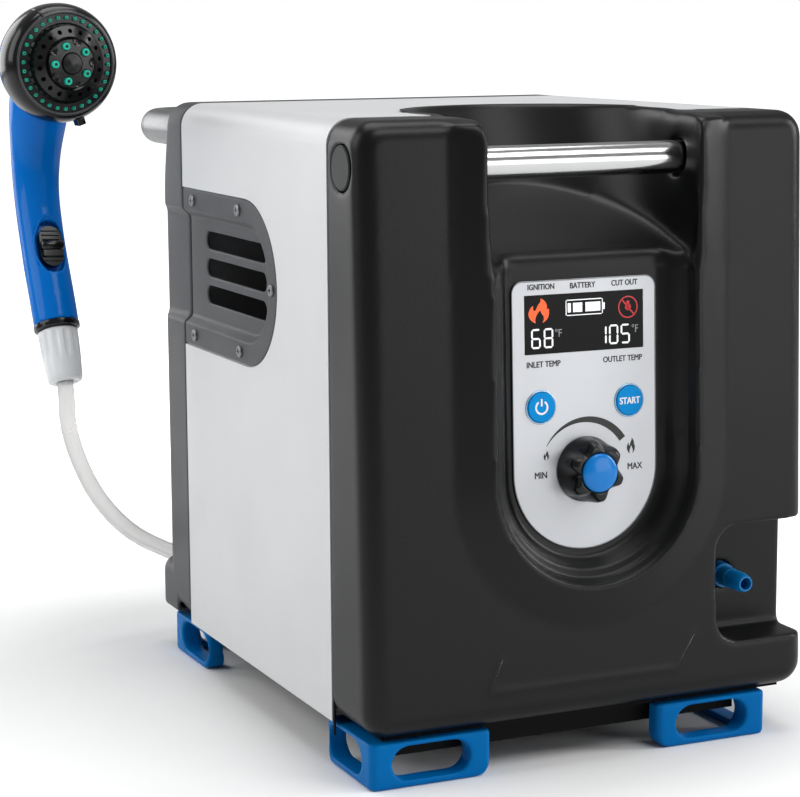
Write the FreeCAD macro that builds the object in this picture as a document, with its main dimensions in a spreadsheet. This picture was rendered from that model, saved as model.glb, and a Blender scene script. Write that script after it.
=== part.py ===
import FreeCAD, Part
import Sketcher
import math
import os
import re

from FreeCAD import Placement, Rotation, Vector

# Portable propane water heater with a hand shower.
# Frame: +X to the right seen from the front, +Y to the back, +Z up, floor at z = 0.
# The case is centred on x = 0 of its own frame; every node is then moved by shift_x, shift_y.

doc = FreeCAD.newDocument("WaterHeater")
sheet = doc.addObject("Spreadsheet::Sheet", "Dims")

SIZES = [
    # place of the case in the object's frame
    ("shift_x", 53.1), ("shift_y", -48.2),
    # case
    ("case_w", 308.0), ("case_h", 400.0), ("base_z", 31.2), ("corner_r", 16.0),
    ("seam_front", 120.0), ("seam_rear", 142.0), ("seam_gap", 0.5), ("wall", 3.0), ("sheet_t", 1.2),
    # front cover: front plane at its foot, lean in degrees, edge round
    ("front_y", 178.4), ("lean", 2.0), ("front_edge_r", 12.5),
    ("collar_r", 70.5), ("collar_foot_r", 95.0), ("collar_out", 7.0), ("collar_drop", 217.5),
    ("ledge_r", 61.0), ("ledge_in", 3.0), ("panel_r", 54.0), ("panel_in", 13.0),
    ("ramp_y", 157.0), ("ramp_drop", 83.6), ("ramp_rise", 0.32), ("ramp_edge_r", 4.0),
    ("bowl_a", 69.5), ("bowl_b", 92.5), ("bowl_y", 140.0),
    ("mouth_a", 78.0), ("mouth_b", 82.0), ("mouth_y", 95.0), ("mouth_front", 70.0),
    ("lip_a", 86.0), ("lip_b", 83.0), ("lip_y", 90.0), ("lip_t", 4.0), ("lip_up", 1.4), ("lip_over", 4.0),
    ("pocket_x", 87.0), ("pocket_z0", 65.5), ("pocket_z1", 141.0), ("pocket_y", 145.0), ("pocket_r", 17.0),
    ("trace_w", 1.6), ("trace_h", 0.7), ("trace_z0", 53.6), ("trace_z1", 73.8), ("trace_x0", 65.0),
    ("trace_x1", 74.0), ("trace_x2", 57.0), ("trace_x3", 70.0),
    # rear cover
    ("rear_y", 191.0), ("rear_lean_drop", 55.0), ("rear_top_y", 178.5), ("rear_bend_r", 120.0),
    ("rear_edge_r", 12.0),
    ("bumper_y", 213.0), ("bumper_z", 67.0), ("bumper_edge_r", 10.0), ("louvre_w", 150.0),
    ("louvre_h", 6.0), ("louvre_z", 205.0), ("louvre_pitch", 15.0),
    # vent
    ("vent_y", 20.0), ("vent_h", 109.4), ("vent_drop", 57.6), ("vent_a", 56.0), ("vent_rim", 15.0),
    ("vent_gap", 0.5), ("vent_deep", 5.5), ("vent_slope", 5.0), ("vent_wall", 2.5), ("slot_pitch", 18.7),
    ("slot_r", 6.0), ("slot_y0", 2.5), ("slot_y1", 103.0), ("slot_up", 2.0), ("frame_over", 8.0),
    ("screw_head_r", 4.0), ("screw_head_h", 1.6), ("screw_r", 1.9), ("screw_l", 9.0),
    # base pan and feet
    ("pan_z", 16.0), ("pan_left", 132.0), ("pan_right", 111.0), ("pan_y0", 158.0), ("pan_y1", 171.0),
    ("pan_t", 1.5), ("flange_w", 281.0), ("flange_y0", 165.0), ("flange_y1", 186.0), ("flange_gap", 0.9),
    ("air_slot_w", 8.0), ("air_slot_l", 90.0), ("air_slot_pitch", 18.0),
    ("foot_t", 14.0), ("foot_len", 80.5), ("foot_side", 70.0), ("foot_front", 173.0), ("foot_rear", 187.0),
    ("foot_left", 151.0), ("foot_right", 127.0), ("foot_slot_l", 52.0), ("foot_slot_h", 21.0),
    ("foot_slot_z", 4.5), ("foot_edge_r", 4.0), ("foot_end_r", 10.0), ("foot_rib", 4.0),
    # handles
    ("bar_r", 10.3), ("tube_t", 1.5), ("bar_y", 141.0), ("bar_drop", 28.2), ("cap_r", 13.5), ("cap_t", 3.2),
    ("loop_r", 12.5), ("loop_in", 15.0), ("loop_drop", 19.5), ("loop_y", 262.5), ("loop_bend", 30.0),
    ("bracket_w", 28.0), ("bracket_d", 18.0), ("bracket_h", 46.0),
    # controls
    ("fascia_r", 49.7), ("fascia_t", 1.0), ("fascia_drop", 99.0), ("fascia_mid_drop", 216.3),
    ("fascia_corner", 7.0),
    ("lcd_w", 82.5), ("lcd_h", 36.0), ("lcd_drop", 125.5), ("lcd_t", 2.0),
    ("button_r", 9.25), ("button_x", 30.8), ("button_drop", 176.0), ("button_up", 1.4), ("button_l", 8.0),
    ("button_gap", 0.35), ("knob_r", 20.5), ("knob_h", 17.0), ("knob_drop", 216.5), ("knob_gap", 0.6),
    ("knob_cap_r", 12.0), ("knob_cap_h", 4.0), ("knob_cap_deep", 2.5), ("stem_r", 4.0), ("stem_l", 24.0),
    ("scoop_r", 15.0), ("scoop_out", 31.0), ("fit_gap", 0.06),
    ("valve_w", 44.0), ("valve_d", 40.0), ("valve_h", 36.0),
    ("valve_port_x", 14.0), ("valve_y", 130.0),
    # water and gas fittings
    ("nipple_x", 109.0), ("nipple_z", 101.5), ("nipple_r", 6.4), ("nipple_bore", 3.9), ("nipple_out", 30.0),
    ("nipple_step", 1.5), ("ridge_pitch", 5.0),
    ("port_z", 46.0), ("port_r", 10.2), ("port_bore", 6.5), ("port_out", 14.0), ("hex_r", 12.0),
    ("relief_l", 1.5), ("relief_t", 0.9),
    ("outlet_x", -32.0), ("inlet_x", 30.0), ("gas_x", 95.0), ("gas_r", 7.9), ("gas_bore", 4.0),
    ("socket_x", -95.0), ("socket_r", 5.5), ("tail_l", 14.0),
    # burner box, heat exchanger and hood
    ("chamber_x", -85.0), ("chamber_y", 5.0), ("chamber_z", 110.0), ("chamber_w", 150.0),
    ("chamber_d", 110.0), ("chamber_h", 86.0), ("tin_t", 1.5), ("leg_w", 4.0),
    ("burner_z", 92.0), ("burner_w", 10.0), ("burner_h", 26.0), ("burner_pitch", 20.0),
    ("burner_feed_r", 7.0), ("spark_r", 3.0),
    ("core_h", 42.0), ("fin_t", 1.2), ("fin_pitch", 10.0), ("core_tube_r", 8.0), ("core_tube_pitch", 25.0),
    ("hood_h", 87.0), ("hood_over", 13.0), ("hood_gap", 10.0), ("hood_t", 1.2),
    # blower, battery, pump, pipes
    ("fan_x", -10.0), ("fan_y", 60.0), ("fan_r", 46.0), ("fan_h", 34.0), ("fan_wall", 3.0), ("pin_r", 2.5),
    ("wheel_r", 38.0), ("wheel_h", 18.0), ("wheel_z", 8.5), ("blade_l", 14.0), ("blade_t", 1.6),
    ("battery_x", -127.0), ("battery_y", -117.0), ("tray_w", 60.0), ("tray_d", 68.0), ("tray_h", 28.0),
    ("cell_r", 9.3), ("cell_pitch", 19.0),
    ("pump_gap", 20.0), ("pump_y", -60.0), ("pump_z", 52.0), ("motor_r", 18.0), ("motor_l", 62.0),
    ("pump_head_r", 19.5), ("pump_head_l", 22.0), ("sensor_r", 13.0), ("sensor_h", 26.0), ("sensor_z", 110.0),
    ("pipe_r", 6.0), ("pipe_bore", 4.8), ("gas_pipe_r", 4.0), ("gas_pipe_bore", 3.0),
    # hand shower: the centre of its face, then its own sizes
    ("hand_x", -216.6), ("hand_y", 205.0), ("hand_z", 427.3), ("hand_turn", 6.0), ("hand_tilt", 2.2),
    ("head_r", 42.0), ("spigot_r", 34.6), ("grip_r", 16.2), ("jet_r", 1.7), ("big_jet_r", 3.2),
    ("jet_ring_r", 31.8), ("hole_r", 1.6), ("hole_ring_r", 22.6), ("big_jet_ring_r", 12.7),
    ("slide_l", 30.0), ("slide_w", 17.0), ("slide_deep", 4.5),
    ("grip_spigot_r", 6.0), ("grip_spigot_l", 17.0),
    ("nut_l", 43.5), ("nut_r", 14.4), ("nut_gap", 0.3),
    # hose
    ("hose_r", 6.0), ("coil_x", 40.0), ("coil_y", 340.0), ("coil_r", 66.0), ("coil_turns", 3.75),
    ("turn_gap", 0.3),
]

for row, (alias, number) in enumerate(SIZES, start=1):
    sheet.set(f"A{row}", alias)
    sheet.set(f"B{row}", str(number))
    sheet.setAlias(f"B{row}", alias)
doc.recompute()

ALIASES = {alias for alias, _ in SIZES}
NODES = {}
made = {"objects": 0}


def v(alias):
    """One number from the sheet."""
    return float(sheet.get(alias))


def down(alias):
    """A height that is given from the roof down."""
    return v("case_h") - v(alias)


def formula(text):
    """A formula on the sheet's cells, written the way FreeCAD reads it."""
    def cell(match):
        word = match.group(0)
        return "Dims." + word if word in ALIASES else word
    return re.sub(r"[a-z_][a-z_0-9]*", cell, str(text))


def bind(obj, **props):
    for prop, text in props.items():
        obj.setExpression(prop.replace("__", "."), formula(text))
    return obj


# places that several pieces share, as formulas
LCD_Z = "(case_h - lcd_drop)"
KNOB_Z = "(case_h - knob_drop)"
BUTTON_Z = "(case_h - button_drop)"
LOOP_Z = "(case_h - loop_drop)"
PUMP_X = "(chamber_x + chamber_w + pump_gap)"

TURNS = {
    "X": Rotation(Vector(0, 1, 0), 90),
    "-X": Rotation(Vector(0, 1, 0), -90),
    "Y": Rotation(Vector(1, 0, 0), -90),
    "-Y": Rotation(Vector(1, 0, 0), 90),
    "Z": Rotation(),
}


def put(obj, at, axis="Z"):
    """Bind an object's place; its own Z axis points along the named axis."""
    obj.Placement = Placement(Vector(0, 0, 0), TURNS[axis])
    for name, text in zip("xyz", at):
        obj.setExpression("Placement.Base." + name, formula(text))
    return obj


def put_on_front(obj, x, z, out):
    """Bind an object's place to the leaning front plane; its own Z axis points out of the plane."""
    obj.Placement = Placement(Vector(0, 0, 0), Rotation(Vector(1, 0, 0), 90 - v("lean")))
    return bind(
        obj,
        Placement__Rotation__Angle="90 - lean",
        Placement__Base__x=x,
        Placement__Base__y=f"-front_y + tan(lean * 1 deg) * ({z} - base_z) - ({out}) * cos(lean * 1 deg)",
        Placement__Base__z=f"{z} + ({out}) * sin(lean * 1 deg)",
    )


def new(kind):
    made["objects"] += 1
    return doc.addObject(kind, "Form" + str(made["objects"]))


def box(at, size):
    obj = bind(new("Part::Box"), Length=size[0], Width=size[1], Height=size[2])
    return put(obj, at)


def rod(at, radius, height, axis="Z"):
    return put(bind(new("Part::Cylinder"), Radius=radius, Height=height), at, axis)


def fuse(*shapes):
    obj = new("Part::MultiFuse")
    obj.Shapes = list(shapes)
    obj.Refine = True
    return obj


def cut(base, *tools):
    obj = new("Part::Cut")
    obj.Base = base
    obj.Tool = tools[0] if len(tools) == 1 else fuse(*tools)
    return obj


def formed(shape):
    """A shape made with Part's own functions, as an object of the document."""
    obj = new("Part::Feature")
    obj.Shape = shape
    return obj


def node(label, obj):
    """One named piece, moved from the case's frame to the object's frame."""
    whole = doc.addObject("Part::Compound", label)
    whole.Label = label
    whole.Links = [obj]
    NODES[label] = bind(whole, Placement__Base__x="shift_x", Placement__Base__y="shift_y")
    return whole


# ---- sketch bodies ----------------------------------------------------------------------------

def body_on(obj_name):
    return doc.addObject("PartDesign::Body", obj_name)


def sketch_on(body, role, name):
    plane = [f for f in body.Origin.OriginFeatures if f.Role == role][0]
    sketch = body.newObject("Sketcher::SketchObject", name)
    sketch.AttachmentSupport = [(plane, "")]
    sketch.MapMode = "FlatFace"
    return sketch


def circle_sketch(body, name, radius, x="0", y="0", role="XY_Plane"):
    """One circle whose radius and centre are bound to the sheet."""
    sketch = sketch_on(body, role, name)
    centre = Vector(0 if x == "0" else 5, 0 if y == "0" else 5, 0)
    sketch.addGeometry(Part.Circle(centre, Vector(0, 0, 1), 5))
    index = sketch.addConstraint(Sketcher.Constraint("Radius", 0, 5))
    sketch.setExpression(f"Constraints[{index}]", formula(radius))
    if x == "0":
        sketch.addConstraint(Sketcher.Constraint("PointOnObject", 0, 3, -2))
    else:
        index = sketch.addConstraint(Sketcher.Constraint("DistanceX", -1, 1, 0, 3, 5))
        sketch.setExpression(f"Constraints[{index}]", formula(x))
    if y == "0":
        sketch.addConstraint(Sketcher.Constraint("PointOnObject", 0, 3, -1))
    else:
        index = sketch.addConstraint(Sketcher.Constraint("DistanceY", -1, 1, 0, 3, 5))
        sketch.setExpression(f"Constraints[{index}]", formula(y))
    return sketch


def rectangle_sketch(body, name, width, height, role="XY_Plane"):
    """A rectangle centred on the sketch's origin, both sizes bound to the sheet."""
    sketch = sketch_on(body, role, name)
    corners = [Vector(-5, -4, 0), Vector(5, -4, 0), Vector(5, 4, 0), Vector(-5, 4, 0)]
    for number, corner in enumerate(corners):
        sketch.addGeometry(Part.LineSegment(corner, corners[(number + 1) % 4]))
    for number in range(4):
        sketch.addConstraint(Sketcher.Constraint("Coincident", number, 2, (number + 1) % 4, 1))
    for number, kind in enumerate(["Horizontal", "Vertical", "Horizontal", "Vertical"]):
        sketch.addConstraint(Sketcher.Constraint(kind, number))
    sketch.addConstraint(Sketcher.Constraint("Symmetric", 0, 1, 2, 1, -1, 1))
    for edge, direction, text in [(0, "DistanceX", width), (1, "DistanceY", height)]:
        index = sketch.addConstraint(Sketcher.Constraint(direction, edge, 1, edge, 2, 8))
        sketch.setExpression(f"Constraints[{index}]", formula(text))
    return sketch


def pad(body, sketch, length, name="Pad"):
    feature = body.newObject("PartDesign::Pad", name)
    feature.Profile = sketch
    bind(feature, Length=length)
    sketch.Visibility = False
    doc.recompute()
    return feature


def round_off(body, feature, edges, radius, name="Fillet"):
    fillet = body.newObject("PartDesign::Fillet", name)
    fillet.Base = (feature, edges)
    bind(fillet, Radius=radius)
    doc.recompute()
    return fillet


def edge_names(shape, test):
    return [f"Edge{number}" for number, edge in enumerate(shape.Edges, start=1) if test(edge)]


# ---- shapes made with Part's own functions ----------------------------------------------------

def edges_where(shape, test):
    return [edge for edge in shape.Edges if test(edge)]


def front_frame():
    """Origin at the foot of the front plane, X across, Y up the plane, Z out of it."""
    return Placement(Vector(0, -v("front_y"), v("base_z")), Rotation(Vector(1, 0, 0), 90 - v("lean")))


def up_front(z):
    """How far up the front plane a height lies."""
    return (z - v("base_z")) / math.cos(math.radians(v("lean")))


def front_at(z):
    """The front plane's y at a height."""
    return -v("front_y") + math.tan(math.radians(v("lean"))) * (z - v("base_z"))


def placed(shape, place):
    shape.Placement = place.multiply(shape.Placement)
    return shape


def block(x0, x1, y0, y1, z0, z1):
    return Part.makeBox(x1 - x0, y1 - y0, z1 - z0, Vector(x0, y0, z0))


def spin(profile, place=Placement()):
    """Turn an outline of (radius, height) points once round its Z axis."""
    points = [Vector(r, 0, h) for r, h in profile]
    face = Part.Face(Part.makePolygon(points + [points[0]]))
    return placed(face.revolve(Vector(0, 0, 0), Vector(0, 0, 1), 360), place)


def half_ellipse(centre, back, side):
    """The half of an ellipse that runs from -side over back to +side."""
    curve = Part.Ellipse(centre + back, centre + side, centre) if back.Length > side.Length \
        else Part.Ellipse(centre + side, centre + back, centre)
    ends = [centre - side, centre + side]
    first, last = [curve.parameter(end) for end in ends]
    middle = curve.parameter(centre + back)
    arc = Part.ArcOfEllipse(curve, first, last)
    if (arc.value((arc.FirstParameter + arc.LastParameter) / 2) - curve.value(middle)).Length > 0.01:
        arc = Part.ArcOfEllipse(curve, last, first)
    return arc.toShape()


def arch_wire(side_front, centre_y, a, b, front_y, z_at):
    """Straight sides that run back to a half ellipse, closed across the front."""
    left_front = Vector(-side_front, front_y, z_at(front_y))
    right_front = Vector(side_front, front_y, z_at(front_y))
    centre = Vector(0, centre_y, z_at(centre_y))
    back = Vector(0, b, z_at(centre_y + b) - z_at(centre_y))
    left = centre - Vector(a, 0, 0)
    right = centre + Vector(a, 0, 0)
    edges = [
        Part.makeLine(left_front, left),
        half_ellipse(centre, back, Vector(a, 0, 0)),
        Part.makeLine(right, right_front),
        Part.makeLine(right_front, left_front),
    ]
    return Part.Wire(Part.__sortEdges__(edges))


def tube_path(points):
    """Straight runs joined by tangent arcs as large as the runs allow; also gives the radii."""
    edges = []
    radii = []
    start = points[0]
    for before, here, after in zip(points, points[1:], points[2:]):
        come = (here - before).normalize()
        leave = (after - here).normalize()
        turn = come.getAngle(leave)
        back = 0.45 * min((here - before).Length, (after - here).Length)
        radii.append(back / math.tan(turn / 2))
        first = here - come * back
        last = here + leave * back
        inward = (leave - come).normalize()
        rise = radii[-1] / math.cos(turn / 2) - radii[-1]
        edges.append(Part.LineSegment(start, first).toShape())
        edges.append(Part.Arc(first, here + inward * rise, last).toShape())
        start = last
    edges.append(Part.LineSegment(start, points[-1]).toShape())
    return Part.Wire(edges), radii


def swept(path, radius):
    """A round bar along a path."""
    edge = path.Edges[0]
    start = edge.Vertexes[0].Point
    along = edge.tangentAt(edge.FirstParameter)
    ring = Part.Wire(Part.makeCircle(radius, start, along))
    return path.makePipeShell([ring], True, True)


def check_tube(label, shape, path, section):
    expected = section * path.Length
    if abs(shape.Volume - expected) > 0.02 * expected:
        raise RuntimeError(f"{label}: volume {shape.Volume:.0f}, expected {expected:.0f}")


def pipe(label, points, radius, bore):
    """A bent pipe with its bore."""
    path, radii = tube_path([Vector(*p) for p in points])
    shape = swept(path, radius).cut(swept(path, bore))
    check_tube(label, shape, path, math.pi * (radius ** 2 - bore ** 2))
    return node(label, formed(shape))


# ---- front cover ------------------------------------------------------------------------------

def front_block(inset, grow, back_y):
    """The front cover's outer form, set in by inset and with its face moved out by grow."""
    half = v("case_w") / 2 - inset
    low = v("base_z") + inset
    high = v("case_h") - inset
    step = (inset - grow) / math.cos(math.radians(v("lean")))
    outline = [
        Vector(-half, front_at(low) + step, low),
        Vector(-half, back_y, low),
        Vector(-half, back_y, high),
        Vector(-half, front_at(high) + step, high),
    ]
    shape = Part.Face(Part.makePolygon(outline + [outline[0]])).extrude(Vector(2 * half, 0, 0))
    long_edges = edges_where(shape, lambda e: e.BoundBox.XLength < 0.01 and e.BoundBox.ZLength < 0.01)
    shape = shape.makeFillet(v("corner_r") - inset, long_edges)

    def on_face(edge):
        points = [edge.valueAt(edge.FirstParameter), edge.valueAt(edge.LastParameter)]
        return all(abs(p.y - front_at(p.z) - step) < 0.01 for p in points)
    return shape.makeFillet(v("front_edge_r") - inset, edges_where(shape, on_face))


def u_form(low_half, low_out, high_half, high_out):
    """A U standing on the front plane, open at the top, from one level and half width to another."""
    wires = []
    centre = up_front(down("collar_drop"))
    top = up_front(v("case_h")) + v("collar_out") + 20
    for half, out in [(low_half, low_out), (high_half, high_out)]:
        left_top = Vector(-half, top, out)
        left = Vector(-half, centre, out)
        right = Vector(half, centre, out)
        right_top = Vector(half, top, out)
        arc = Part.Arc(left, Vector(0, centre - half, out), right).toShape()
        edges = [Part.makeLine(left_top, left), arc, Part.makeLine(right, right_top),
                 Part.makeLine(right_top, left_top)]
        wires.append(Part.Wire(edges))
    return placed(Part.makeLoft(wires, True, True), front_frame())


def bowl_form(grow):
    """The hand bowl behind the bar: from the sloping floor up to its mouth in the roof."""
    def floor_z(y):
        return down("ramp_drop") + v("ramp_rise") * (y + v("ramp_y")) - grow
    roof = v("case_h") + v("lip_up") + 0.5
    front = -v("front_y") - v("collar_out") - 15
    low = arch_wire(v("bowl_a") + grow, -v("bowl_y"), v("bowl_a") + grow, v("bowl_b") + grow, front, floor_z)
    high = arch_wire(v("mouth_front") + grow, -v("mouth_y"), v("mouth_a") + grow, v("mouth_b") + grow, front,
                     lambda y: roof)
    return Part.makeLoft([low, high], True, True)


def pocket_form(grow):
    """The pocket at the lower right, open to the front and to the right side."""
    right = v("case_w") / 2 + 20
    front = -v("front_y") - v("collar_out") - 15
    shape = block(v("pocket_x") - grow, right, front, -v("pocket_y") + grow,
                  v("pocket_z0") - grow, v("pocket_z1") + grow)
    left = v("pocket_x") - grow

    def left_long(edge):
        bounds = edge.BoundBox
        return bounds.YLength > 10 and bounds.XLength < 0.01 and abs(bounds.XMin - left) < 0.01
    shape = shape.makeFillet(v("pocket_r") + grow, edges_where(shape, left_long))
    back = -v("pocket_y") + grow

    def low_back(edge):
        bounds = edge.BoundBox
        flat = bounds.ZLength < 0.01 and abs(bounds.ZMin - v("pocket_z0") + grow) < 0.01
        return flat and bounds.YLength < 0.01 and abs(bounds.YMin - back) < 0.01
    return shape.makeFillet(v("wall") + grow, edges_where(shape, low_back))


def lip_plate(inset, z0, z1):
    """The roof tongue round the bowl's mouth."""
    wire = arch_wire(v("lip_a") - inset, -v("lip_y"), v("lip_a") - inset, v("lip_b") - inset,
                     -v("seam_front") - 2, lambda y: z0)
    return Part.Face(wire).extrude(Vector(0, 0, z1 - z0))


def front_rod(x, z, radius, low, high):
    """A round bar square to the front plane between two levels."""
    rod_shape = Part.makeCylinder(radius, high - low, Vector(x, up_front(z), low))
    return placed(rod_shape, front_frame())


def front_slab(x0, x1, z0, z1, low, high):
    shape = block(x0, x1, up_front(z0), up_front(z1), low, high)
    return placed(shape, front_frame())


def front_trace():
    """The thin raised line below the collar: a wide open trapezium, bare inside."""
    low = up_front(v("trace_z0"))
    high = up_front(v("trace_z1"))
    points = [(-v("trace_x0"), high), (-v("trace_x1"), low), (v("trace_x2"), low), (v("trace_x3"), high)]
    bars = []
    for (x0, y0), (x1, y1) in zip(points, points[1:]):
        length = math.hypot(x1 - x0, y1 - y0)
        bar = Part.makeBox(length, v("trace_w"), v("trace_h") + 1, Vector(0, -v("trace_w") / 2, -1))
        ends = [Part.makeCylinder(v("trace_w") / 2, v("trace_h") + 1, Vector(x, 0, -1)) for x in (0, length)]
        bar = bar.multiFuse(ends)
        turn = math.degrees(math.atan2(y1 - y0, x1 - x0))
        bars.append(placed(bar, Placement(Vector(x0, y0, 0), Rotation(Vector(0, 0, 1), turn))))
    return placed(bars[0].multiFuse(bars[1:]), front_frame())


def front_cover():
    seam = -v("seam_front") - v("seam_gap") / 2
    wall = v("wall")
    outer = front_block(0, 0, seam)
    shell = outer.cut(front_block(wall, 0, seam + 5))
    collar = u_form(v("collar_foot_r"), 0, v("collar_r"), v("collar_out"))
    collar = collar.common(front_block(0, v("collar_out"), seam))
    hollow = u_form(v("collar_foot_r") - wall, -wall - 0.5, v("collar_r") + wall, v("collar_out") - wall)
    shell = shell.fuse(collar).cut(hollow.common(front_block(wall, v("collar_out") - wall, seam)))
    clip = front_block(0, v("collar_out"), seam)
    clip = clip.fuse(lip_plate(0, down("ramp_drop") - 30, v("case_h") + v("lip_up")))
    u_half = v("collar_r") + wall - 1
    u_wall = u_form(u_half, -v("panel_in") - wall, u_half, v("collar_out"))
    u_wall = u_wall.common(collar.fuse(outer))
    backing = [u_wall, bowl_form(wall).common(clip), pocket_form(wall).common(outer)]
    tongue = [lip_plate(0, v("case_h"), v("case_h") + v("lip_up")),
              lip_plate(v("lip_over"), v("case_h") - v("lip_t"), v("case_h") + v("lip_up"))]
    shell = shell.multiFuse(backing + tongue + [front_trace()])
    ledge = u_form(v("collar_r") - 4.5, -v("ledge_in"), v("collar_r") - 1, v("collar_out") + 0.5)
    panel = u_form(v("panel_r"), -v("panel_in"), v("ledge_r"), -v("ledge_in") + 0.01)
    half = v("case_w") / 2
    across = Vector(1, 0, 0)
    bar_start = Vector(-half - 10, -v("bar_y"), down("bar_drop"))
    bar_hole = Part.makeCylinder(v("bar_r") + v("fit_gap"), 2 * half + 20, bar_start, across)
    cap_ends = [Vector(x, -v("bar_y"), down("bar_drop")) for x in (-half - 1, half - wall - 1)]
    cap_seats = [Part.makeCylinder(v("cap_r") + 0.3, wall + 2, end, across) for end in cap_ends]
    behind = -v("panel_in") - wall - 20
    level = -v("panel_in") + 0.5
    lcd = front_slab(-v("lcd_w") / 2 + 2, v("lcd_w") / 2 - 2, down("lcd_drop") - v("lcd_h") / 2 + 2,
                     down("lcd_drop") + v("lcd_h") / 2 - 2, behind, level)
    holes = [front_rod(x, down("button_drop"), v("button_r") + v("button_gap"), behind, level)
             for x in (-v("button_x"), v("button_x"))]
    holes.append(front_rod(0, down("knob_drop"), v("stem_r") + v("knob_gap"), behind, level))
    nipple_start = Vector(v("nipple_x"), -v("pocket_y") - 10, v("nipple_z"))
    holes.append(Part.makeCylinder(v("nipple_r") + v("nipple_step"), 40, nipple_start, Vector(0, 1, 0)))
    shell = shell.cut([bowl_form(0), pocket_form(0), ledge, panel, bar_hole, lcd] + cap_seats + holes)
    edge_y = front_at(down("ramp_drop")) + v("panel_in")

    def ramp_edge(edge):
        bounds = edge.BoundBox
        near = abs(bounds.YMax - edge_y) < 2 and abs(bounds.ZMax - down("ramp_drop")) < 3
        return near and bounds.XLength > v("panel_r") and bounds.ZLength < 0.5
    shell = shell.makeFillet(v("ramp_edge_r"), edges_where(shell, ramp_edge))
    return node("front_cover", formed(shell))


# ---- steel wrap, rear cover, vent -------------------------------------------------------------

def arch_face(inset, low, y):
    """The case's section: straight sides and a roof with round corners."""
    half = v("case_w") / 2 - inset
    top = v("case_h") - inset
    r = v("corner_r") - inset
    c = r * math.sqrt(0.5)
    side = half - r
    left = Part.Arc(Vector(-half, y, top - r), Vector(-side - c, y, top - r + c), Vector(-side, y, top))
    right = Part.Arc(Vector(side, y, top), Vector(side + c, y, top - r + c), Vector(half, y, top - r))
    edges = [
        Part.makeLine(Vector(-half, y, low), Vector(-half, y, top - r)),
        left.toShape(),
        Part.makeLine(Vector(-side, y, top), Vector(side, y, top)),
        right.toShape(),
        Part.makeLine(Vector(half, y, top - r), Vector(half, y, low)),
        Part.makeLine(Vector(half, y, low), Vector(-half, y, low)),
    ]
    return Part.Face(Part.Wire(edges))


def vent_wire(x, grow, rear):
    """The vent plate's outline on the left side: straight at the rear, half an ellipse at the front."""
    middle = ((down("vent_drop") - v("vent_h")) + down("vent_drop")) / 2
    tall = (down("vent_drop") - (down("vent_drop") - v("vent_h"))) / 2 + grow
    long = v("vent_a") + grow
    centre = Vector(x, v("vent_y"), middle)
    high = centre + Vector(0, 0, tall)
    low = centre - Vector(0, 0, tall)
    edges = [
        Part.makeLine(high, Vector(x, rear, high.z)),
        Part.makeLine(Vector(x, rear, high.z), Vector(x, rear, low.z)),
        Part.makeLine(Vector(x, rear, low.z), low),
        half_ellipse(centre, Vector(0, -long, 0), Vector(0, 0, tall)),
    ]
    return Part.Wire(Part.__sortEdges__(edges))


def vent_slab(x, deep, grow, rear):
    return Part.Face(vent_wire(x, grow, rear)).extrude(Vector(deep, 0, 0))


def vent_screw_places():
    """The five screws: two above, two below, one at the front of the plate."""
    middle = ((down("vent_drop") - v("vent_h")) + down("vent_drop")) / 2
    edge = v("screw_head_r") * 2
    rows = [(down("vent_drop") - edge), ((down("vent_drop") - v("vent_h")) + edge)]
    places = [(y, z) for z in rows for y in (v("vent_y") + 12, v("seam_rear") - 21)]
    return places + [(v("vent_y") - v("vent_a") + edge + 1, middle)]


def wrap_panel():
    front = -v("seam_front") + v("seam_gap") / 2
    rear = v("seam_rear") - v("seam_gap") / 2
    long = Vector(0, rear - front, 0)
    low = v("base_z") - v("flange_gap")
    shell = arch_face(0, low, front).extrude(long)
    shell = shell.cut(arch_face(v("sheet_t"), low - 1, front).extrude(long))
    notch = lip_plate(v("lip_over") - v("seam_gap"), v("case_h") - 20, v("case_h") + 5)
    half = v("case_w") / 2
    opening = vent_slab(-half - 1, v("sheet_t") + 2, v("vent_gap"), v("seam_rear") + 5)
    return node("wrap_panel", formed(shell.cut([notch, opening])))


def vent_grille():
    x = -v("case_w") / 2
    rear = v("seam_rear") - 2 * v("seam_gap")
    rim = -v("vent_rim")
    floor = rim - v("vent_slope")
    deep = v("vent_deep")
    thick = v("vent_wall")
    plate = vent_slab(x, v("sheet_t"), 0, rear)
    tray = Part.makeLoft([vent_wire(x, rim + thick, rear), vent_wire(x + deep + thick, floor + thick, rear)],
                         True, True)
    slope = (floor - rim) / deep
    mouth = vent_wire(x - 1, rim - slope, rear + 5)
    hollow = Part.makeLoft([mouth, vent_wire(x + deep, floor, rear + 5)], True, True)
    middle = ((down("vent_drop") - v("vent_h")) + down("vent_drop")) / 2
    slots = []
    for step in (-1, 0, 1):
        z = middle + v("slot_up") + step * v("slot_pitch")
        ends = [Part.makeCylinder(v("slot_r"), 30, Vector(x - 5, y, z), Vector(1, 0, 0))
                for y in (v("slot_y0"), v("slot_y1"))]
        bar = block(x - 5, x + 25, v("slot_y0"), v("slot_y1"), z - v("slot_r"), z + v("slot_r"))
        slots.append(bar.multiFuse(ends))
    holes = [Part.makeCylinder(v("screw_r"), 20, Vector(x - 5, y, z), Vector(1, 0, 0))
             for y, z in vent_screw_places()]
    shape = plate.fuse(tray).cut([hollow] + slots + holes)
    return node("vent_grille", formed(shape.removeSplitter()))


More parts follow.
